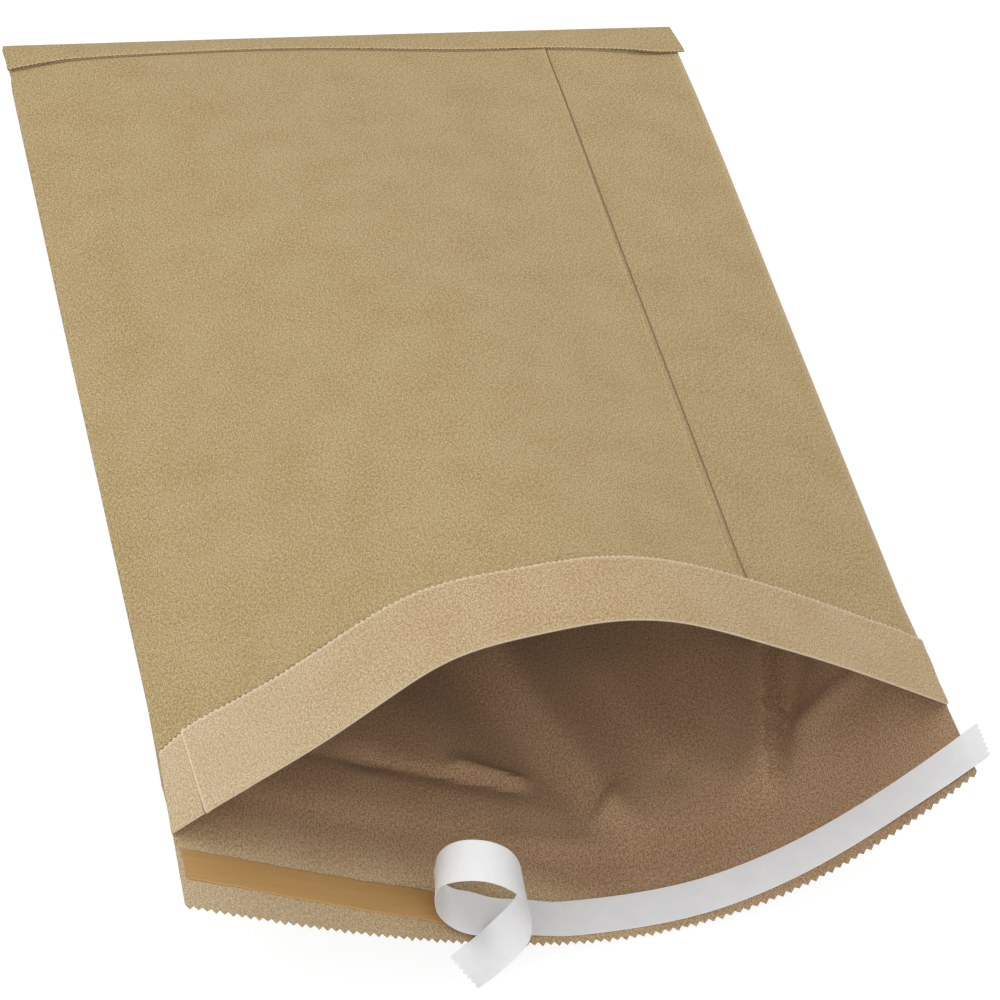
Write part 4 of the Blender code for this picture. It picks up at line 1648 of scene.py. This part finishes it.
@dataclass
class Studio:
    """White sweep, plain soft light and the photograph's camera."""

    lens: float = 94.77
    camera_place: tuple[float, float, float] = (-187.201, -577.208, 688.901)
    camera_axes: tuple[tuple[float, float, float], ...] = (
        (0.978129, -0.186985, 0.091105), (-0.063218, -0.684539, -0.72623),
        (0.198159, 0.704587, -0.681388))
    key_place: tuple[float, float, float] = (-0.9, 0.15, 1.8)
    key_size: float = 0.8
    key_power: float = 4.5
    fill_place: tuple[float, float, float] = (-1.1, -1.7, 1.5)
    fill_size: float = 1.6
    fill_power: float = 12.0
    world_strength: float = 0.84
    floor_glow: float = 0.84
    floor_reach: float = 3.0
    floor_points: int = 13

    def camera(self) -> None:
        """Place the camera: its axes are rows for right, down and forward."""
        axes = np.array(self.camera_axes) @ STAND.turn().T
        place = STAND.place(np.array(self.camera_place))
        data = bpy.data.cameras.new("photo_view")
        data.lens, data.sensor_width = self.lens, 36.0
        data.clip_start, data.clip_end = 0.01, 20.0
        camera = bpy.data.objects.new("photo_view", data)
        turn = np.eye(4)
        turn[:3, 0], turn[:3, 1], turn[:3, 2], turn[:3, 3] = axes[0], -axes[1], -axes[2], place
        camera.matrix_world = Matrix(turn.tolist())
        bpy.context.scene.collection.objects.link(camera)
        bpy.context.scene.camera = camera

    def lamp(self, name: str, place: tuple[float, float, float], size: float,
             power: float) -> None:
        """A square soft lamp aimed at the envelope.

        Args:
            name: lamp name.
            place: where it hangs, in metres.
            size: side of the square, in metres.
            power: watts.
        """
        data = bpy.data.lights.new(name, "AREA")
        data.size, data.energy = size, power
        lamp = bpy.data.objects.new(name, data)
        back = unit(np.array(place, float))
        right = unit(np.cross([0, 0, 1.0], back))
        turn = np.eye(4)
        turn[:3, 0], turn[:3, 1], turn[:3, 2] = right, np.cross(back, right), back
        turn[:3, 3] = place
        lamp.matrix_world = Matrix(turn.tolist())
        bpy.context.scene.collection.objects.link(lamp)

    def seen_rays(self, tree: bpy.types.NodeTree) -> bpy.types.NodeSocket:
        """One for rays from the camera, a gloss or glass, and nought for the rest."""
        path = add_node(tree, "ShaderNodeLightPath").outputs
        first = calculate(tree, "MAXIMUM", path["Is Camera Ray"], path["Is Glossy Ray"])
        return calculate(tree, "MAXIMUM", first, path["Is Transmission Ray"])

    def world(self) -> None:
        """Even grey light, seen as plain white."""
        world = bpy.data.worlds.new("white_sweep")
        world.use_nodes = True
        tree = world.node_tree
        tree.nodes.clear()
        light, white = (add_node(tree, "ShaderNodeBackground",
                                 {"Strength": strength, "Color": (1, 1, 1, 1)})
                        for strength in (self.world_strength, 1.0))
        mix = add_node(tree, "ShaderNodeMixShader", links={
            0: self.seen_rays(tree), 1: light.outputs[0], 2: white.outputs[0]})
        add_node(tree, "ShaderNodeOutputWorld", links={"Surface": mix.outputs[0]})
        bpy.context.scene.world = world

    def floor(self) -> bpy.types.Object:
        """White floor: matt card that glows to white for the camera and keeps shadows."""
        grid = np.linspace(-self.floor_reach, self.floor_reach, self.floor_points)
        x, y = np.meshgrid(grid, grid)
        data = bpy.data.meshes.new("white_floor")
        points = np.stack([x.ravel(), y.ravel(), 0 * x.ravel()], axis=1)
        number = np.arange(len(points)).reshape(self.floor_points, self.floor_points)
        faces = np.stack([number[:-1, :-1], number[:-1, 1:], number[1:, 1:], number[1:, :-1]],
                         axis=-1).reshape(-1, 4)
        data.from_pydata(points.tolist(), [], faces.tolist())
        floor = bpy.data.objects.new("white_floor", data)
        bpy.context.scene.collection.objects.link(floor)
        made, tree, shader = new_material("matt_white_card")
        glow = calculate(tree, "MULTIPLY", self.seen_rays(tree), self.floor_glow)
        fill_inputs(tree, shader, {
            "Base Color": linear("#8C8C8C"), "Roughness": 1.0, "Specular IOR Level": 0.0,
            "Emission Color": (1, 1, 1, 1), "Emission Strength": glow})
        data.materials.append(made)
        return floor

    def build(self) -> None:
        """Set the view, the camera, the lamps, the world and the floor."""
        bpy.context.scene.view_settings.view_transform = "Standard"
        self.camera()
        self.world()
        self.floor()
        self.lamp("key_softbox", self.key_place, self.key_size, self.key_power)
        self.lamp("fill_softbox", self.fill_place, self.fill_size, self.fill_power)


OUTER_KRAFT = KraftPaper("outer_kraft_paper", dark="#816C3D", middle="#B2986A", light="#D3BE95",
                         worn_and_painted_light="#DAC8A2")
INNER_KRAFT = KraftPaper("inner_kraft_paper", pocket_shade_tint="#DFD2D5",
                         dark="#8F734E", middle="#BDA177", light="#DDC8A2",
                         worn_and_painted_light="#EBDFC7", cockle_mm=32.0, cockle_depth_mm=0.15)

POCKET_CREASES = (
    Crease((122, -98), (166, -23), -4.5, 12.0, 0.5, 0.5),
    Crease((148, -104), (180, -26), 3.4, 18.0, 2.8, 0.7),
    Crease((178, -20), (191, -9), 3.6, 8.0, 1.0, 0.8),
    Crease((196, -80), (216, -28), 1.2, 12.0, 1.0, 0.8),
    Crease((208, -30), (222, -14), -1.2, 8.0, 1.0, 0.8),
    Crease((84, -39), (141, -31), -2.2, 3.2),
    Crease((56, -41), (84, -39), -1.0, 4.0),
    Crease((122, -41), (147, -35), 2.2, 2.8, 0.6),
    Crease((244, -14), (261, -66), 6.5, 13.0, 5.5),
    Crease((270, -64), (249, -16), -6.5, 10.0, 2.5, 0.3),
    Crease((296, -54), (262, -18), 1.4, 9.0, 1.0, 0.4),
    Crease((262, -28), (292, -33), 1.8, 5.0),
    Crease((20, -16), (110, -9), -1.2, 5.0),
    Crease((138, -9), (186, -3), 3.0, 4.0),
)


def main() -> None:
    logging.basicConfig(level=logging.INFO, format="%(name)s: %(message)s")
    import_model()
    form = TubeForm()
    z = form.sizes
    Studio().build()
    OuterSheet(form, "outer_ply", "outer_kraft", OUTER_KRAFT, z.outer_level, True).build()
    InnerSheet(form, "inner_ply", "inner_kraft", INNER_KRAFT, z.inner_level, False,
               creases=POCKET_CREASES).build()
    FibrePadding(form).build()
    GlueStrip(form).build()
    PeeledLiner(form).build()


if __name__ == "__main__":
    main()
